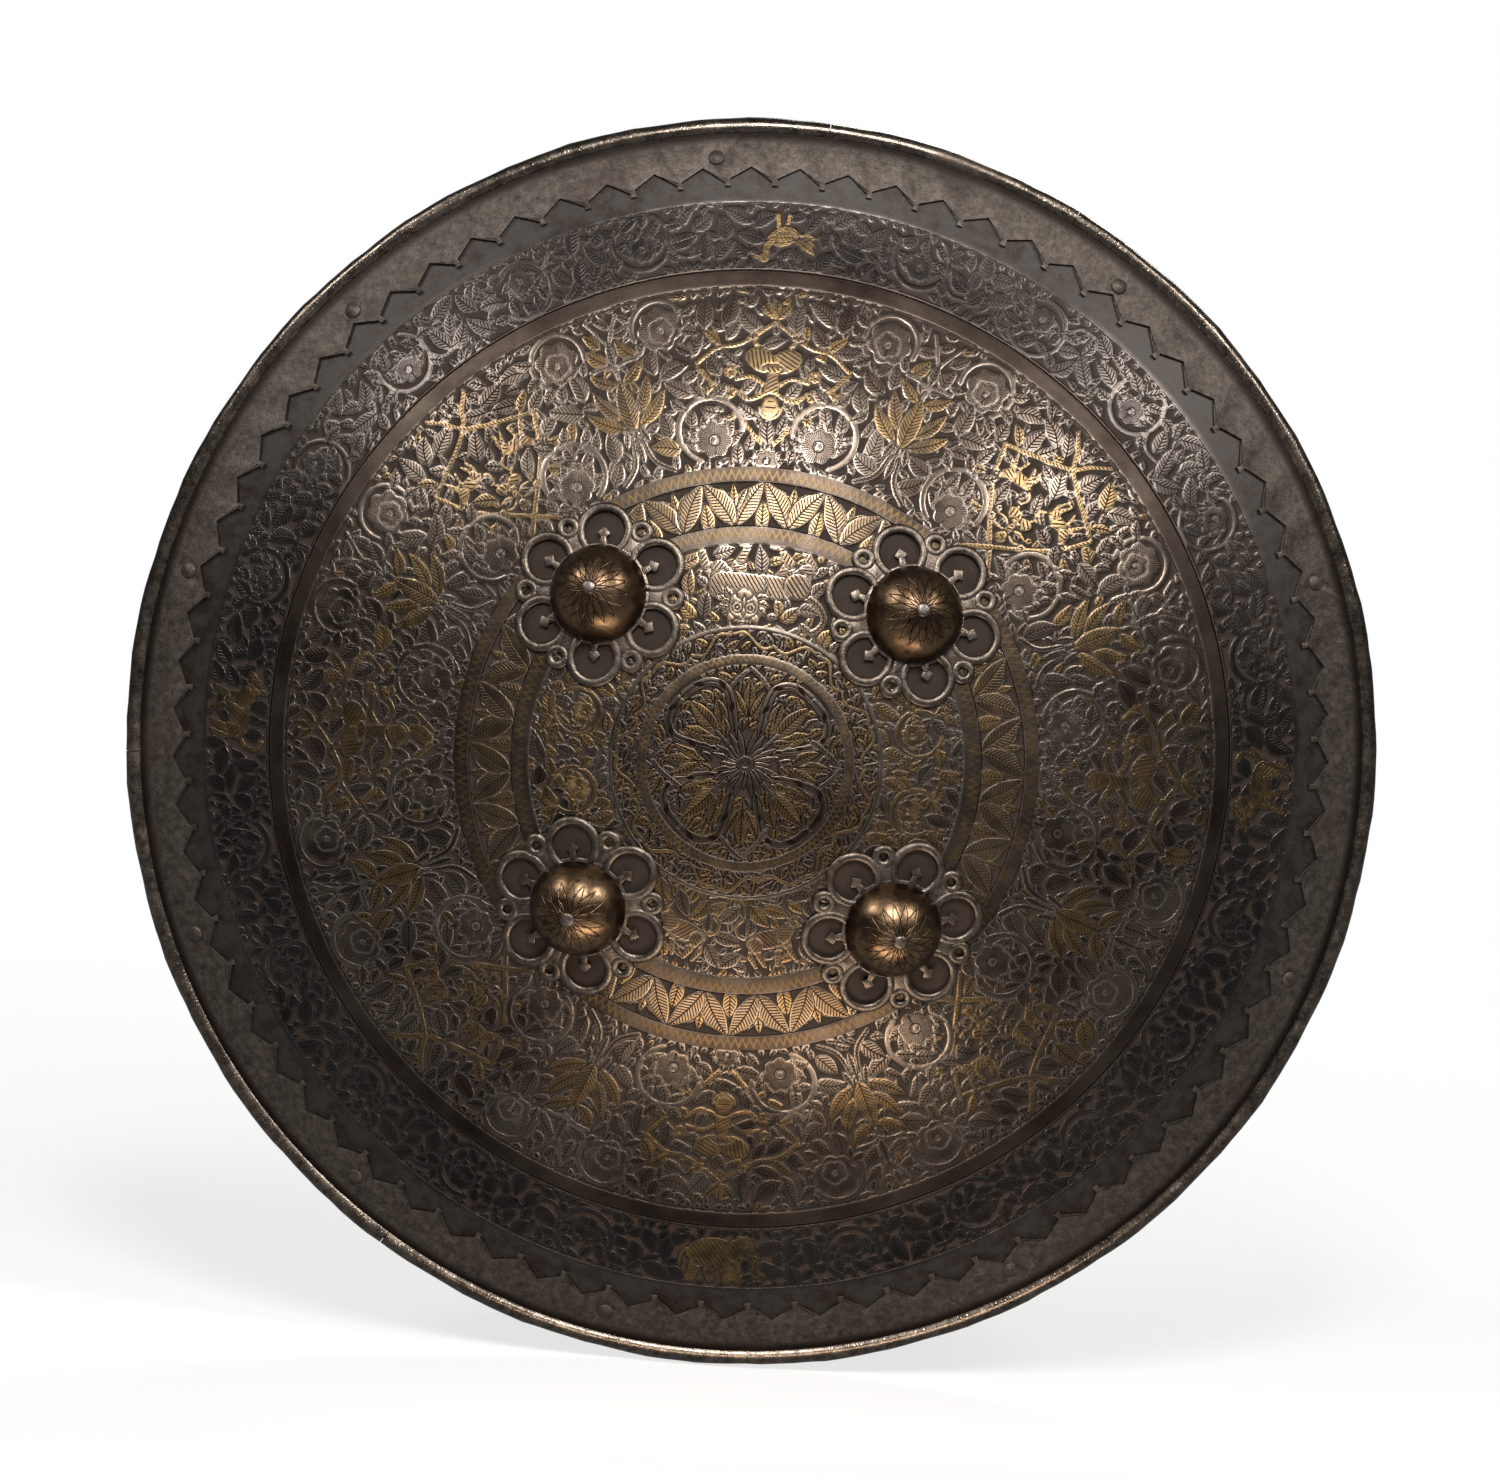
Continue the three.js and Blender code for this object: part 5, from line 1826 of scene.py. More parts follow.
@dataclass
class KnucklePad:
    """The square velvet cushion behind the knuckles, blown up as cloth and then quilted and piped."""

    half: float = 41.0
    edge: float = 5.0
    crown: float = 11.0
    draw_in: float = 0.07
    corner: float = 0.06
    floor: float = -3.6
    cells: int = 30
    voxel: float = 4.0
    pressure: float = 4.0
    frames: int = 20
    cap: float = 2.6
    piping: float = 1.3
    pitch: float = 24.0
    channel: float = 1.7
    channel_depth: float = 1.15

    def outline(self, u: np.ndarray, v: np.ndarray) -> tuple[np.ndarray, np.ndarray]:
        """Draw the sides in between the corners.

        Args:
            u: Share across, from -1 to 1.
            v: Share up, from -1 to 1.

        Returns:
            Places in millimetres.
        """
        pull = 1 - self.corner * (u * v) ** 2
        x = u * self.half * pull * (1 - self.draw_in * (1 - v * v) * u * u)
        z = v * self.half * pull * (1 - self.draw_in * (1 - u * u) * v * v)
        return x, z

    def rest_height(self, x: np.ndarray, z: np.ndarray) -> np.ndarray:
        """Return y of the lining's surface, on which the pad rests."""
        return BOWL.height(np.hypot(x, z)) - self.floor

    def cushion(self) -> bpy.types.Object:
        """Make the stuffed cushion.

        Returns:
            The cushion, swollen by the cloth simulation.
        """
        piece = primitive(bpy.ops.mesh.primitive_cube_add, "knuckle_cushion", size=2 * MM)
        with editing(piece, everything=True):
            bpy.ops.mesh.subdivide(number_cuts=self.cells)
        share = places_of(piece) / MM
        u, v, level = share[:, 0], share[:, 2], (share[:, 1] + 1) / 2
        x, z = self.outline(u, v)
        dome = np.sqrt(np.clip((1 - u * u) * (1 - v * v), 0, 1))
        y = self.rest_height(x, z) + 0.6 + level * (self.edge - 1.6 + (self.crown - 1.0) * dome)
        places = np.stack([x, y, z], axis=-1) * MM
        set_places(piece, places)
        self.inflate(piece)
        modify(piece, "SUBSURF", levels=1, render_levels=1)
        self.quilt(piece)
        smooth(piece, 80)
        return piece

    def inflate(self, piece: bpy.types.Object) -> None:
        """Swell the cushion as cloth under pressure, and keep it within its room.

        Args:
            piece: The cushion.
        """
        modify(piece, "REMESH", mode="VOXEL", voxel_size=self.voxel * MM)
        start = places_of(piece)
        cloth = piece.modifiers.new("Cloth", "CLOTH")
        cloth.settings.use_pressure = True
        cloth.settings.uniform_pressure_force = self.pressure
        cloth.settings.effector_weights.gravity = 0
        cloth.point_cache.frame_end = self.frames
        for frame in range(1, self.frames + 1):
            bpy.context.scene.frame_set(frame)
        shown = piece.evaluated_get(bpy.context.evaluated_depsgraph_get()).to_mesh()
        end = np.array([tuple(v.co) for v in shown.vertices])
        piece.modifiers.remove(cloth)
        bpy.context.scene.frame_set(1)
        move = end - start
        length = np.linalg.norm(move, axis=1)[:, None]
        move *= np.minimum(1, self.cap * MM / np.maximum(length, 1e-9))
        end = start + move
        floor = (self.rest_height(end[:, 0] / MM, end[:, 2] / MM) + 0.2) * MM
        end[:, 1] = np.maximum(end[:, 1], floor)
        set_places(piece, end)

    def quilt(self, piece: bpy.types.Object) -> None:
        """Sew a lattice of channels into the cushion's top.

        Args:
            piece: The cushion.
        """
        places = places_of(piece) / MM
        x, y, z = places.T
        height = y - self.rest_height(x, z)
        first = (x + z) / math.sqrt(2)
        second = (x - z) / math.sqrt(2)
        off = [np.abs((line / self.pitch + 0.5) % 1 - 0.5) * self.pitch for line in (first, second)]
        groove = sum(np.exp(-((line / self.channel) ** 2)) for line in off)
        top = np.clip((height - 3.5) / 3.0, 0, 1)
        places[:, 1] = y - self.channel_depth * np.minimum(groove, 1.35) * top
        set_places(piece, places * MM)

    def cord(self) -> bpy.types.Object:
        """Make the piping that is sewn round the cushion's foot."""
        side = np.linspace(-1, 1, 25)[:-1]
        rim = np.ones_like(side)
        u = np.concatenate([side, rim, -side, -rim])
        v = np.concatenate([-rim, side, rim, -side])
        x, z = self.outline(u, v)
        y = self.rest_height(x, z) + self.piping + 0.15
        piece = tube("knuckle_piping", np.stack([x, y, z], axis=-1) * MM, self.piping, 3)
        smooth(piece, 80)
        return piece

    def make(self, velvet: bpy.types.Material, braid: bpy.types.Material) -> None:
        """Make the cushion and its piping.

        Args:
            velvet: Finish of the cushion.
            braid: Finish of the piping.
        """
        cushion = fit_out(self.cushion(), ROOT, velvet, ["knuckle_pad"])
        fit_out(self.cord(), ROOT, braid)


@dataclass
class Lining:
    """Velvet stretched and glued over the hollow side, with a twisted braid at its edge."""

    radius: float = 204.0
    front: float = -2.45
    thickness: float = 0.8
    rings: int = 68
    columns: int = 240
    glue: float = 0.12
    pucker: float = 0.16
    puckers: int = 26
    strand: float = 0.72
    strand_inset: float = 1.6
    strand_rise: float = 0.7
    wind_across: float = 0.75
    wind_deep: float = 0.6
    lean: float = 0.4
    twists: int = 360

    def sheet(self) -> bpy.types.Object:
        """Make the velvet: a fine disc laid on the bowl, with its thickness."""
        piece = primitive(
            bpy.ops.mesh.primitive_circle_add, "lining_velvet",
            vertices=self.columns, radius=self.radius * MM, fill_type="NGON", rotation=(-math.pi / 2, 0, 0)
        )
        with editing(piece, everything=True):
            for _ in range(self.rings - 1):
                bpy.ops.mesh.inset(thickness=self.radius / self.rings * MM)
            bpy.ops.mesh.poke()
        places = places_of(piece) / MM
        x, z = places[:, 0], places[:, 2]
        radius = np.hypot(x, z)
        angle = np.arctan2(x, z)
        # glued cloth lies close, with faint puckers towards the edge
        pucker = self.pucker * np.sin(self.puckers * angle + radius / 30)
        pucker *= np.clip(radius / self.radius - 0.45, 0, 1)
        places[:, 1] = BOWL.height(radius) - self.front + self.glue + pucker
        set_places(piece, places * MM)
        with editing(piece, everything=True):
            bpy.ops.mesh.normals_make_consistent(inside=False)
        if sum(face.normal.y for face in piece.data.polygons) < 0:
            piece.data.flip_normals()
        modify(piece, "SOLIDIFY", thickness=self.thickness * MM, offset=1)
        smooth(piece, 60)
        return piece

    def edge_braid(self) -> bpy.types.Object:
        """Twist two strands into the braid that hides the velvet's edge."""
        t = np.arange(self.twists * 4) / (self.twists * 4)
        middle = self.radius - self.strand_inset
        base = BOWL.height(self.radius - 1.0) - self.front + self.thickness + self.strand_rise
        strands = []
        for phase in (0.0, 0.5):
            wind = TURN * (t * self.twists / 2 + phase)
            radius = middle + self.wind_across * np.cos(wind)
            y = base + self.wind_deep * np.sin(wind) + (radius - middle) * self.lean
            places = np.stack([radius * np.sin(TURN * t), y, radius * np.cos(TURN * t)], axis=-1) * MM
            strands.append(tube("strand", places, self.strand, 1))
        piece = join(strands, "lining_braid")
        smooth(piece, 80)
        return piece

    def make(self, velvet: bpy.types.Material, braid: bpy.types.Material) -> None:
        """Make the lining and its braid.

        Args:
            velvet: Finish of the lining.
            braid: Finish of the braid.
        """
        sheet = fit_out(self.sheet(), ROOT, velvet, ["shield_lining"])
        edge = fit_out(self.edge_braid(), ROOT, braid)
        radii = np.linspace(0, self.radius, 400)
        heights = BOWL.height(radii)


@dataclass
class Graph:
    """Nodes of a material or of the world, put down step by step."""

    owner: bpy.types.Material | bpy.types.World

    def __post_init__(self) -> None:
        """Start with an empty node tree."""
        self.owner.use_nodes = True
        self.owner.node_tree.nodes.clear()

    def put(self, kind: str, links: dict | None = None, **settings: Any) -> Any:
        """Add one shader node with its links and settings.

        Args:
            kind: Node type without its "ShaderNode" start.
            links: Values, hex colours, sockets or nodes by input name or number.
            settings: Properties of the node.

        Returns:
            The new node.
        """
        tree = self.owner.node_tree
        node = tree.nodes.new("ShaderNode" + kind)
        for name, value in settings.items():
            setattr(node, name, value)
        for name, value in (links or {}).items():
            if isinstance(value, bpy.types.Node):
                value = next(output for output in value.outputs if output.enabled)
            if isinstance(value, bpy.types.NodeSocket):
                tree.links.new(value, node.inputs[name])
            else:
                node.inputs[name].default_value = linear(value) if isinstance(value, str) else value
        return node

    @cached_property
    def place(self) -> bpy.types.NodeSocket:
        """The object's coordinates, which are those of the shared frame."""
        return self.put("TexCoord").outputs["Object"]

    @cached_property
    def radius(self) -> bpy.types.NodeSocket:
        """Distance from the shield's axis, in millimetres."""
        flat = self.put("VectorMath", {0: self.place, 1: (1 / MM, 0.0, 1 / MM)}, operation="MULTIPLY")
        return self.put("VectorMath", {0: flat}, operation="LENGTH").outputs["Value"]

    @cached_property
    def path(self) -> Any:
        """What kind of ray it is, as outputs."""
        return self.put("LightPath").outputs

    @cached_property
    def mirrored(self) -> bpy.types.Node:
        """1 where it is seen in a reflection or through something clear."""
        return self.calc("MAXIMUM", self.path["Is Glossy Ray"], self.path["Is Transmission Ray"])

    def calc(self, operation: str, *values: Any, clamp: bool = False) -> bpy.types.Node:
        """Add a calculation.

        Args:
            operation: What is done.
            values: What it is done with.
            clamp: Whether the result is held between 0 and 1.

        Returns:
            The node.
        """
        return self.put("Math", dict(enumerate(values)), operation=operation, use_clamp=clamp)

    def times(self, first: Any, second: Any) -> bpy.types.Node:
        """Multiply two values."""
        return self.calc("MULTIPLY", first, second)

    def plus(self, base: Any, *terms: tuple[Any, float]) -> Any:
        """Add terms to a value.

        Args:
            base: Value that they are added to.
            terms: Values with their weights.

        Returns:
            The sum.
        """
        for value, weight in terms:
            base = self.calc("MULTIPLY_ADD", value, weight, base)
        return base

    def ramp(
        self, value: Any, low: float = 0.0, high: float = 1.0, start: float = 0.0, end: float = 1.0,
        interpolation: str = "LINEAR",
    ) -> bpy.types.Node:
        """Turn one range of values into another.

        Args:
            value: What comes in.
            low: Where the range begins.
            high: Where it ends.
            start: Result at its beginning.
            end: Result at its end.
            interpolation: Kind of ramp.

        Returns:
            The node.
        """
        links = {"Value": value, "From Min": low, "From Max": high, "To Min": start, "To Max": end}
        return self.put("MapRange", links, interpolation_type=interpolation)

    def soft(self, value: Any, low: float, high: float, end: float = 1.0) -> bpy.types.Node:
        """Add a ramp from 0 with soft ends.

        Args:
            value: What comes in.
            low: Where the range begins.
            high: Where it ends.
            end: Result at its end.

        Returns:
            The node.
        """
        return self.ramp(value, low, high, 0.0, end, "SMOOTHSTEP")

    def mix(self, share: Any, first: Any, second: Any, blend: str = "MIX") -> bpy.types.Node:
        """Mix two colours.

        Args:
            share: Share of the second.
            first: One colour.
            second: The other.
            blend: How they are mixed.

        Returns:
            The node.
        """
        return self.put("Mix", {0: share, 6: first, 7: second}, data_type="RGBA", blend_type=blend)

    def shaded(self, colour: Any, factor: Any) -> bpy.types.Node:
        """Multiply a colour by a factor."""
        return self.mix(1.0, colour, factor, "MULTIPLY")

    def noise(
        self, scale: float, detail: float = 2.0, roughness: float = 0.5, warp: float = 0.0
    ) -> bpy.types.Node:
        """Add noise in the object's coordinates.

        Args:
            scale: Blobs to a metre.
            detail: Octaves.
            roughness: Share that each octave keeps.
            warp: Distortion.

        Returns:
            The node.
        """
        return self.put("TexNoise", {
            "Vector": self.place, "Scale": scale, "Detail": detail,
            "Roughness": roughness, "Distortion": warp,
        })

    def read(self, attribute: str, output: str = "Fac") -> bpy.types.NodeSocket:
        """Read an attribute of the mesh.

        Args:
            attribute: Its name.
            output: Which output of the node.

        Returns:
            The output.
        """
        return self.put("Attribute", attribute_name=attribute).outputs[output]

    def surface(self, links: dict, height: Any, strength: float, depth: float) -> bpy.types.Material:
        """Close a material with its shader and its fine relief.

        Args:
            links: Inputs of the shader.
            height: Height of the relief.
            strength: Strength of the relief.
            depth: Its depth in millimetres.

        Returns:
            The material.
        """
        bump = self.put("Bump", {"Strength": strength, "Distance": depth * MM, "Height": height})
        shader = self.put("BsdfPrincipled", {**links, "Normal": bump})
        self.put("OutputMaterial", {"Surface": shader})
        return self.owner


@dataclass(frozen=True)
class ChiselledSteel:
    """Watered steel chiselled in low relief and overlaid with gold, old and handled.

    The raised leaves are worn grey, and their edges are painted paler, partly from wear and partly as a
    painted highlight where they catch the light. The ground is dark with rust and old oil, and the gold
    is left in the hatching and rubbed off the high spots. The outer band is bluer and painted darker, a
    painted shade where it mirrors the dim room, and the plain brim is browned.
    """

    pit: str = "#2a1e16"
    rust: str = "#261c16"
    line: str = "#1d1511"
    dull: str = "#3b322d"
    bright: str = "#776c63"
    # pale worn steel, which also stands for a painted highlight on the raised edges
    worn: str = "#bab0a6"
    gold: str = "#937b57"
    old_gold: str = "#5d4a30"
    # dark blued steel of the outer band, made darker still as painted shade
    blued_and_shaded_band: str = "#2f3032"
    brim: str = "#33302e"
    roundel_radius: float = 46.0
    band_radius: float = 178.6
    brim_radius: float = 203.6
    edge_wear_and_highlight: float = 0.22
    blueing_and_shade: float = 0.66

    def build(self) -> bpy.types.Material:
        """Build the node material."""
        g = Graph(bpy.data.materials.new("chiselled_steel_overlaid_with_gold"))
        raised, vein, hatch, gold, inlay = map(g.read, RELIEF)
        # the outer band, which is bluer and takes painted shade
        blue = g.ramp(g.radius, self.band_radius, self.band_radius + 1.4)
        brim = g.ramp(g.radius, self.brim_radius, self.brim_radius + 1.8)
        # 1 mm wobble of the graver, 40 mm and 7 mm clouds of patina, 0.5 mm grain of old steel
        hand = g.noise(900.0)
        cloud = g.noise(26.0, 6.0, 0.62)
        patch = g.noise(150.0, 5.0, 0.7)
        grain = g.noise(2200.0, 3.0)
        edge = g.calc("ADD", raised, g.ramp(hand, start=-0.22, end=0.22))
        groove = g.soft(edge, 0.08, -0.12)
        pit = g.soft(edge, -0.2, -0.5)
        top = g.calc("SUBTRACT", 1.0, groove)
        # engraved middle line, 0.4 mm, and hatching a little coarser than real, so that it shows
        line = g.soft(g.calc("ABSOLUTE", vein), 0.34, 0.12)
        stroke = g.times(g.soft(g.calc("PINGPONG", hatch, 0.5), 0.24, 0.08), g.soft(edge, 0.25, 0.6))
        cut = g.times(g.calc("MAXIMUM", line, stroke), top)
        wire = g.soft(g.calc("ABSOLUTE", inlay), 0.5, 0.24)
        gilt = g.times(g.calc("MAXIMUM", g.times(gold, top), wire), g.ramp(patch, 0.36, 0.6, 0.34, 0.95))
        steel = g.mix(g.ramp(cloud, 0.34, 0.66), self.dull, self.bright)
        # the raised edges are painted paler: partly wear, partly a painted highlight where they catch the
        # light
        steel = g.mix(g.times(g.soft(edge, 0.55, 0.15), self.edge_wear_and_highlight), steel, self.worn)
        # the outer band is bluer steel, painted darker as well: painted shade where it mirrors the dim room
        steel = g.mix(g.times(blue, self.blueing_and_shade), steel, self.blued_and_shaded_band)
        speck = g.ramp(grain, 0.3, 0.7, 0.66, 1.2)
        colour = g.mix(gilt, g.shaded(steel, speck), g.mix(patch, self.old_gold, self.gold))
        # the roundel is the darkest, and the plain bands, whose gold is below nothing, are browned
        middle = g.ramp(g.radius, self.roundel_radius + 6.0, self.roundel_radius, end=0.2)
        shade = g.plus(g.times(cut, 0.85), (groove, 0.8), (blue, -0.18), (middle, 1.0))
        shade = g.calc("MULTIPLY_ADD", g.ramp(gold, 0.0, -1.0), 0.75, shade, clamp=True)
        colour = g.mix(shade, colour, self.line)
        colour = g.mix(pit, colour, g.mix(g.ramp(cloud, 0.5, 0.68, end=0.85), self.pit, self.rust))
        brown = g.mix(g.ramp(patch, 0.36, 0.56), self.rust, self.brim)
        colour = g.mix(brim, colour, g.shaded(brown, speck))
        rough = g.plus(g.ramp(patch, 0.3, 0.7, 0.26, 0.38), (shade, 0.24), (brim, 0.12), (pit, 0.25))
        metal = g.plus(g.ramp(pit, start=1.0, end=0.35), (brim, -0.4))
        height = g.plus(top, (cut, -0.4), (wire, 0.12), (patch, 0.36), (grain, 0.14))
        return g.surface({"Base Color": colour, "Roughness": rough, "Metallic": metal}, height, 0.6, 0.22)


@dataclass(frozen=True)
class OldSteel:
    """Forged and filed steel with a brown patina: cloudy, finely scratched and paler where it is rubbed."""

    name: str
    dark: str
    pale: str
    rust: str
    roughness: float = 0.42
    rusting: float = 0.35
    scratch: float = 320.0
    # radius from which the plate takes painted shade along the rim, and the colour of that painted shade
    rim_shade_from: float = 300.0
    oxide: float = 0.0
    rim_shade: str = "#7a6a60"

    def build(self) -> bpy.types.Material:
        """Build the node material."""
        g = Graph(bpy.data.materials.new(self.name))
        # 2.5 mm clouds of patina, 3 mm file marks, 0.5 mm grain, 26 mm blooms of rust and 1 mm pits
        cloud = g.noise(400.0, 8.0, 0.72)
        filed = g.noise(self.scratch, 4.0)
        grain = g.noise(2000.0, 3.0)
        bloom = g.ramp(g.noise(38.0, 5.0), 0.62 - 0.2 * self.rusting, 0.78, end=0.8)
        pits = g.put("TexVoronoi", {"Vector": g.place, "Scale": 900.0}).outputs["Distance"]
        colour = g.mix(g.ramp(cloud, 0.3, 0.7), self.dark, self.pale)
        colour = g.shaded(colour, g.ramp(filed, 0.3, 0.7, 0.7, 1.15))
        colour = g.shaded(colour, g.ramp(grain, 0.3, 0.7, 0.62, 1.25))
        colour = g.mix(bloom, colour, self.rust)
        # painted shade: towards the rim the plate is darkened and browned, where it runs in under the rim
        rim_shade = g.ramp(g.plus(g.radius, (cloud, 3.0)), self.rim_shade_from, self.rim_shade_from + 2.6, end=0.85)
        colour = g.mix(rim_shade, g.mix(rim_shade, colour, self.rust), self.rim_shade, "MULTIPLY")
        rough = g.plus(g.ramp(filed, start=self.roughness - 0.08, end=self.roughness + 0.14), (bloom, 0.3))
        metal = g.ramp(bloom, start=1.0 - self.oxide, end=0.5)
        height = g.plus(g.ramp(pits, 0.1, 0.4), (filed, 0.8))
        return g.surface({"Base Color": colour, "Roughness": rough, "Metallic": metal}, height, 0.5, 0.1)


@dataclass(frozen=True)
class EngravedGilt:
    """Fire-gilt copper alloy, engraved with petals: warm, rubbed bright, black in the cuts."""

    gold: str = "#7d6850"
    bronze: str = "#4d3c30"
    black: str = "#1c1410"
    petals: int = 18
    stud_radius: float = 2.4
    tip_radius: float = 13.0

    def build(self) -> bpy.types.Material:
        """Build the node material."""
        g = Graph(bpy.data.materials.new("engraved_gilt_bronze"))
        seat = g.put("SeparateXYZ", {0: g.read("seat", "Vector")}).outputs
        x, y = seat["X"], seat["Y"]
        saw = g.calc("PINGPONG", g.times(g.calc("ARCTAN2", y, x), self.petals / TURN), 0.5)
        reach = g.calc("SQRT", g.calc("MULTIPLY_ADD", y, y, g.times(x, x)))
        # petals are 10 mm long from the stud and 2 mm wide; each is drawn by a 0.5 mm line
        belly = g.calc("PINGPONG", g.ramp(reach, self.stud_radius, self.tip_radius), 0.5)
        gap = g.calc("ABSOLUTE", g.calc("SUBTRACT", belly, saw))
        ring = g.ramp(reach, self.tip_radius + 0.6, self.tip_radius - 0.6)
        line = g.times(g.soft(g.times(gap, reach), 0.8, 0.2), ring)
        # 10 mm clouds where the gilding is rubbed off, and 2 mm spots of dirt
        cloud = g.noise(95.0, 6.0, 0.7)
        lash = g.noise(420.0, 3.0)
        colour = g.mix(g.ramp(cloud, 0.38, 0.62), self.bronze, self.gold)
        dark = g.calc("MAXIMUM", line, g.ramp(lash, 0.58, 0.72, end=0.7))
        dark = g.times(g.calc("MAXIMUM", dark, g.soft(reach, 14.5, 18.0, 0.6)), 0.85)
        colour = g.mix(dark, colour, self.black)
        rough = g.ramp(cloud, start=0.2, end=0.42)
        height = g.plus(lash, (line, -1.0))
        return g.surface({"Base Color": colour, "Roughness": rough, "Metallic": 1.0}, height, 0.6, 0.16)


@dataclass(frozen=True)
class GripLeather:
    """Vegetable-tanned goatskin, waxed and handled: soft sheen, fine pebbled grain, a sewn seam."""

    dark: str = "#2a160e"
    tan: str = "#5c3520"
    thread: str = "#b59a6c"
    stitch: float = 3.2

    def build(self) -> bpy.types.Material:
        """Build the node material."""
        g = Graph(bpy.data.materials.new("goatskin_leather"))
        wrap = g.put("SeparateXYZ", {0: g.read("wrap", "Vector")}).outputs
        # 0.8 mm pebbles, 12 mm patches of wear, and the stitches along the seam
        grain = g.put("TexVoronoi", {"Vector": g.place, "Scale": 1200.0}, feature="DISTANCE_TO_EDGE")
        worn = g.noise(80.0, 5.0)
        crack = g.ramp(grain, 0.0, 0.12, 0.55, 1.0)
        colour = g.shaded(g.mix(g.ramp(worn, 0.35, 0.68), self.dark, self.tan), crack)
        dash = g.ramp(g.calc("PINGPONG", g.times(wrap["X"], 1 / self.stitch), 0.5), 0.14, 0.2)
        band = g.ramp(g.calc("ABSOLUTE", wrap["Y"]), 0.75, 0.5)
        stitch = g.times(g.times(dash, band), g.calc("GREATER_THAN", wrap["Z"], 1.0))
        colour = g.mix(stitch, colour, self.thread)
        rough = g.ramp(worn, start=0.62, end=0.42)
        return g.surface(
            {"Base Color": colour, "Roughness": rough, "IOR": 1.48}, g.plus(crack, (stitch, 1.6)), 0.6, 0.22
        )


@dataclass(frozen=True)
class Velvet:
    """Silk velvet, faded and crushed by use: deep pile that turns pale at a glance."""

    name: str
    deep: str
    faded: str
    sheen: str = "#d98a86"

    def build(self) -> bpy.types.Material:
        """Build the node material."""
        g = Graph(bpy.data.materials.new(self.name))
        # 0.7 mm tufts of pile and 20 mm crushed patches
        pile = g.noise(1500.0)
        crush = g.noise(45.0, 5.0, 0.5, 0.6)
        colour = g.mix(g.ramp(crush, 0.24, 0.8), self.deep, self.faded)
        colour = g.shaded(colour, g.ramp(pile, 0.3, 0.7, 0.65, 1.1))
        return g.surface({
            "Base Color": colour, "Roughness": 0.92, "Sheen Weight": 0.55, "Sheen Roughness": 0.35,
            "Sheen Tint": self.sheen, "Specular IOR Level": 0.2,
        }, g.plus(pile, (crush, 1.4)), 0.6, 0.35)


@dataclass(frozen=True)
class GoldBraid:
    """Silver-gilt thread wound on silk: dull gold with fine slanting windings."""

    gold: str = "#a8824a"
    silk: str = "#5e4426"

    def build(self) -> bpy.types.Material:
        """Build the node material."""
        g = Graph(bpy.data.materials.new("silver_gilt_thread"))
        # the real winding is 0.2 mm; it is drawn at 0.8 mm so that it shows
        links = {"Vector": g.place, "Scale": 420.0, "Distortion": 1.5}
        wind = g.put("TexWave", links, bands_direction="DIAGONAL")
        tone = g.ramp(g.times(wind, g.noise(120.0, 4.0)), 0.1, 0.5)
        colour = g.mix(tone, self.silk, self.gold)
        return g.surface({"Base Color": colour, "Roughness": 0.45, "Metallic": 0.7}, wind, 0.5, 0.15)


@dataclass(frozen=True)
class SoftBox:
    """A rectangular lamp that faces the shield."""

    name: str
    place: Place
    size: Point
    level: float
    tint: str = "#fffaf4"
    target: Place = (0.0, 0.0, 0.0)

    def hang(self) -> None:
        """Hang the lamp; its level is the brightness of its face, where 1 is white."""
        light = bpy.data.lights.new(self.name, "AREA")
        light.shape = "RECTANGLE"
        light.size, light.size_y = self.size
        light.energy = self.level * math.pi * self.size[0] * self.size[1]
        light.color = linear(self.tint)[:3]
        lamp = linked(self.name, light)
        lamp.location = self.place
        way = Vector(self.target) - Vector(self.place)
        lamp.rotation_euler = way.to_track_quat("-Z", "Y").to_euler()


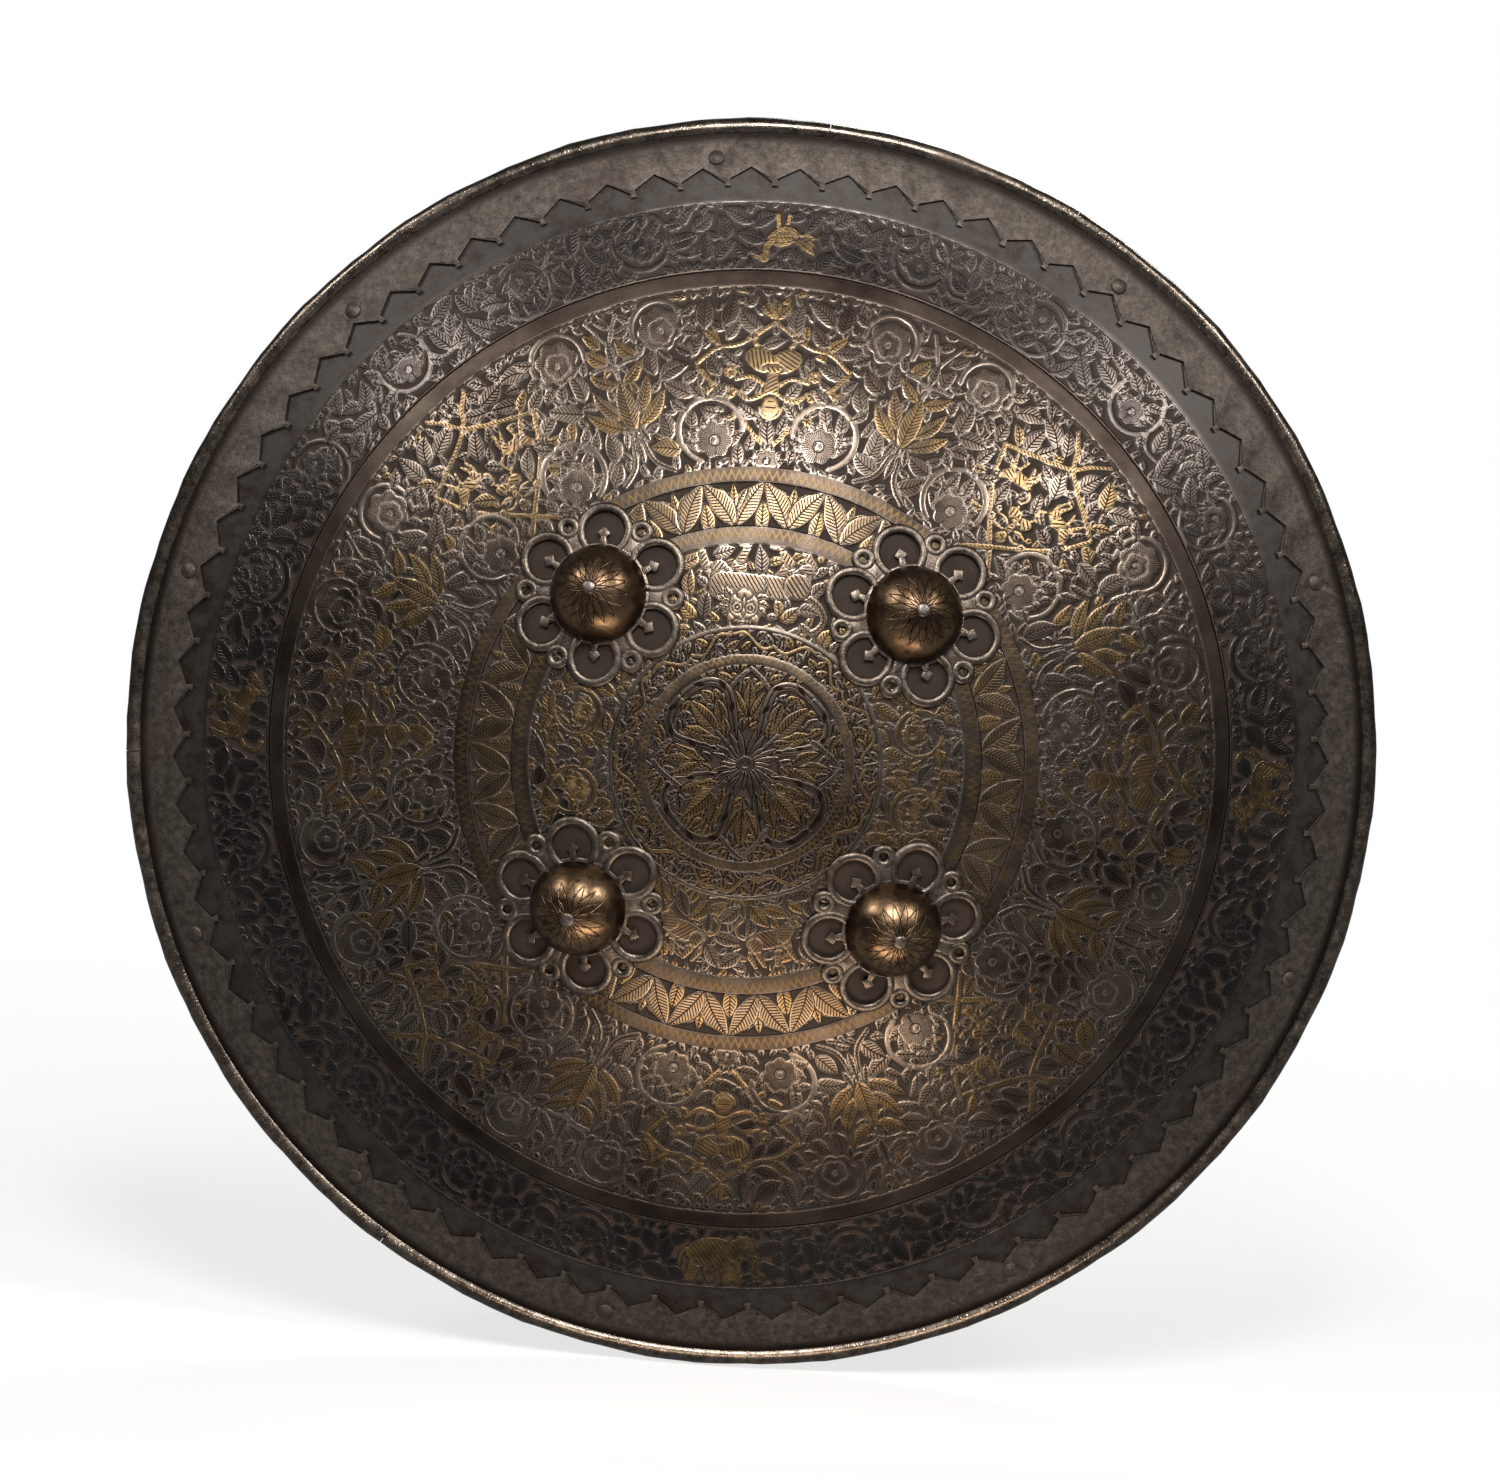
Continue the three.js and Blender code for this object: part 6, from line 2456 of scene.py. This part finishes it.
@dataclass
class Studio:
    """White paper, soft lamps and a long lens level with the shield."""

    distance: float = 2.4
    frame_width: float = 0.5629
    roll: float = -3.8
    rise: float = 4.5
    aside: float = 1.2
    aim: Place = (0.0, 0.032, 0.0)
    shift: float = 0.004
    floor: float = -0.2352
    paper: float = 3.2
    world_level: float = 0.09
    mirrored_room: float = 0.12
    mirrored_paper: float = 0.28
    lamps: tuple[SoftBox, ...] = (
        SoftBox("top_box", (0.03, -1.45, 1.08), (0.3, 0.66), 54.0),
        SoftBox("right_box", (1.15, -1.0, 1.08), (0.4, 0.4), 30.0),
        SoftBox("left_box", (-1.36, -0.8, 1.26), (0.4, 0.4), 27.0),
        SoftBox("low_card", (0.03, -0.16, -0.225), (0.22, 0.05), 13.0, "#ffe6cc", (0.0, -0.035, -0.13)),
        SoftBox("rear_box", (0.5, 1.6, 1.3), (0.9, 0.7), 12.0, "#ffffff"),
    )

    def lay_paper(self) -> None:
        """Lay the white paper that the shield stands on.

        It is white to the camera, where it still takes the shadow, and dimmer in reflections.
        """
        piece = primitive(
            bpy.ops.mesh.primitive_plane_add, "paper_floor", size=self.paper, location=(0, 0, self.floor)
        )
        g = Graph(bpy.data.materials.new("white_paper"))
        paper = g.put("BsdfDiffuse", {"Color": g.ramp(g.noise(700.0), start=0.78, end=0.84)})
        level = g.ramp(g.mirrored, start=1.0, end=self.mirrored_paper)
        glow = g.put("Emission", {"Color": "#ffffff", "Strength": level})
        away = g.put("VectorMath", {0: g.place}, operation="LENGTH").outputs["Value"]
        part = g.times(g.path["Is Camera Ray"], g.ramp(away, 0.5, 1.3, 0.66, 1.0))
        part = g.calc("MAXIMUM", part, g.mirrored)
        g.put("OutputMaterial", {"Surface": g.put("MixShader", {0: part, 1: paper, 2: glow})})
        piece.data.materials.append(g.owner)

    def set_world(self) -> None:
        """Set the world: white to the camera, while the steel mirrors a dim room, as in the photo."""
        g = Graph(bpy.data.worlds.new("studio"))
        level = g.ramp(g.mirrored, start=self.world_level, end=self.mirrored_room)
        level = g.calc("MAXIMUM", level, g.path["Is Camera Ray"])
        g.put("OutputWorld", {"Surface": g.put("Background", {"Color": "#ffffff", "Strength": level})})
        bpy.context.scene.world = g.owner
        bpy.context.scene.view_settings.view_transform = "Standard"

    def set_camera(self) -> None:
        """Put the camera where the photograph was taken from."""
        lens = bpy.data.cameras.new("long_lens")
        lens.sensor_width = 36.0
        lens.lens = lens.sensor_width * self.distance / self.frame_width
        lens.shift_y = self.shift
        lens.clip_end = 20.0
        camera = linked("camera", lens)
        roll, rise, aside = (math.radians(angle) for angle in (self.roll, self.rise, self.aside))
        up = Vector((math.sin(roll), 0, math.cos(roll)))
        right = Vector((math.cos(roll), 0, -math.sin(roll)))
        way = (Vector((0, -1, 0)) + up * math.tan(rise) + right * math.tan(aside)).normalized()
        side = up.cross(way).normalized()
        turn = Matrix((side, way.cross(side), way)).transposed().to_4x4()
        camera.matrix_world = Matrix.Translation(Vector(self.aim) + way * self.distance) @ turn
        bpy.context.scene.camera = camera

    def make(self) -> None:
        """Set up the whole studio."""
        self.set_camera()
        self.lay_paper()
        for lamp in self.lamps:
            lamp.hang()
        self.set_world()


def finishes() -> dict[Slot, bpy.types.Material]:
    """Build every finish of the shield, by slot."""
    coats = {
        Slot.BOWL: ChiselledSteel(),
        Slot.BORDER: OldSteel(
            # the painted shade along the rim starts at 227 mm
            "plain_browned_steel", "#2f2a26", "#5b534d", "#2c2019", 0.49, rim_shade_from=227.0, oxide=0.28
        ),
        Slot.RIM: OldSteel("rolled_polished_steel", "#372f2a", "#8a8076", "#33261e", 0.25, 0.1, 160.0),
        Slot.ROSETTE: OldSteel("filed_steel", "#463e38", "#81776e", "#3c2e26", 0.38, 0.2),
        Slot.BOSS: EngravedGilt(),
        Slot.IRON: OldSteel("forged_iron", "#4c4541", "#8a827c", "#46322a", 0.36, 0.4),
        Slot.LEATHER: GripLeather(),
        Slot.PAD: Velvet("crimson_silk_velvet", "#5a141b", "#8c2f30"),
        Slot.LINING: Velvet("faded_silk_velvet", "#48161a", "#6d2a2a"),
    }
    return {slot: coat.build() for slot, coat in coats.items()}


def main() -> None:
    """Build the shield in order, from the studio to the lining."""
    Studio().make()
    coats = finishes()
    braid = GoldBraid().build()
    ChiselledBowl().make(coats[Slot.BOWL])
    BorderAndRim().make(coats[Slot.BORDER], coats[Slot.RIM])
    Bosses().make(coats)
    Grips().make(coats)
    KnucklePad().make(coats[Slot.PAD], braid)
    Lining().make(coats[Slot.LINING], braid)


logging.basicConfig(level=logging.INFO, format="%(name)s: %(message)s")
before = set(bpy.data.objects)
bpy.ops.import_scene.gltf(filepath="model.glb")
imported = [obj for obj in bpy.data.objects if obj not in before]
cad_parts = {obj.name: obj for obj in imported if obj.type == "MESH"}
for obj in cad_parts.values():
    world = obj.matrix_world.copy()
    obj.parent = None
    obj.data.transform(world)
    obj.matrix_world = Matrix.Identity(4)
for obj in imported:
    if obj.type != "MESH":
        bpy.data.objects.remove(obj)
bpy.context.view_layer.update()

if __name__ == "__main__":
    main()
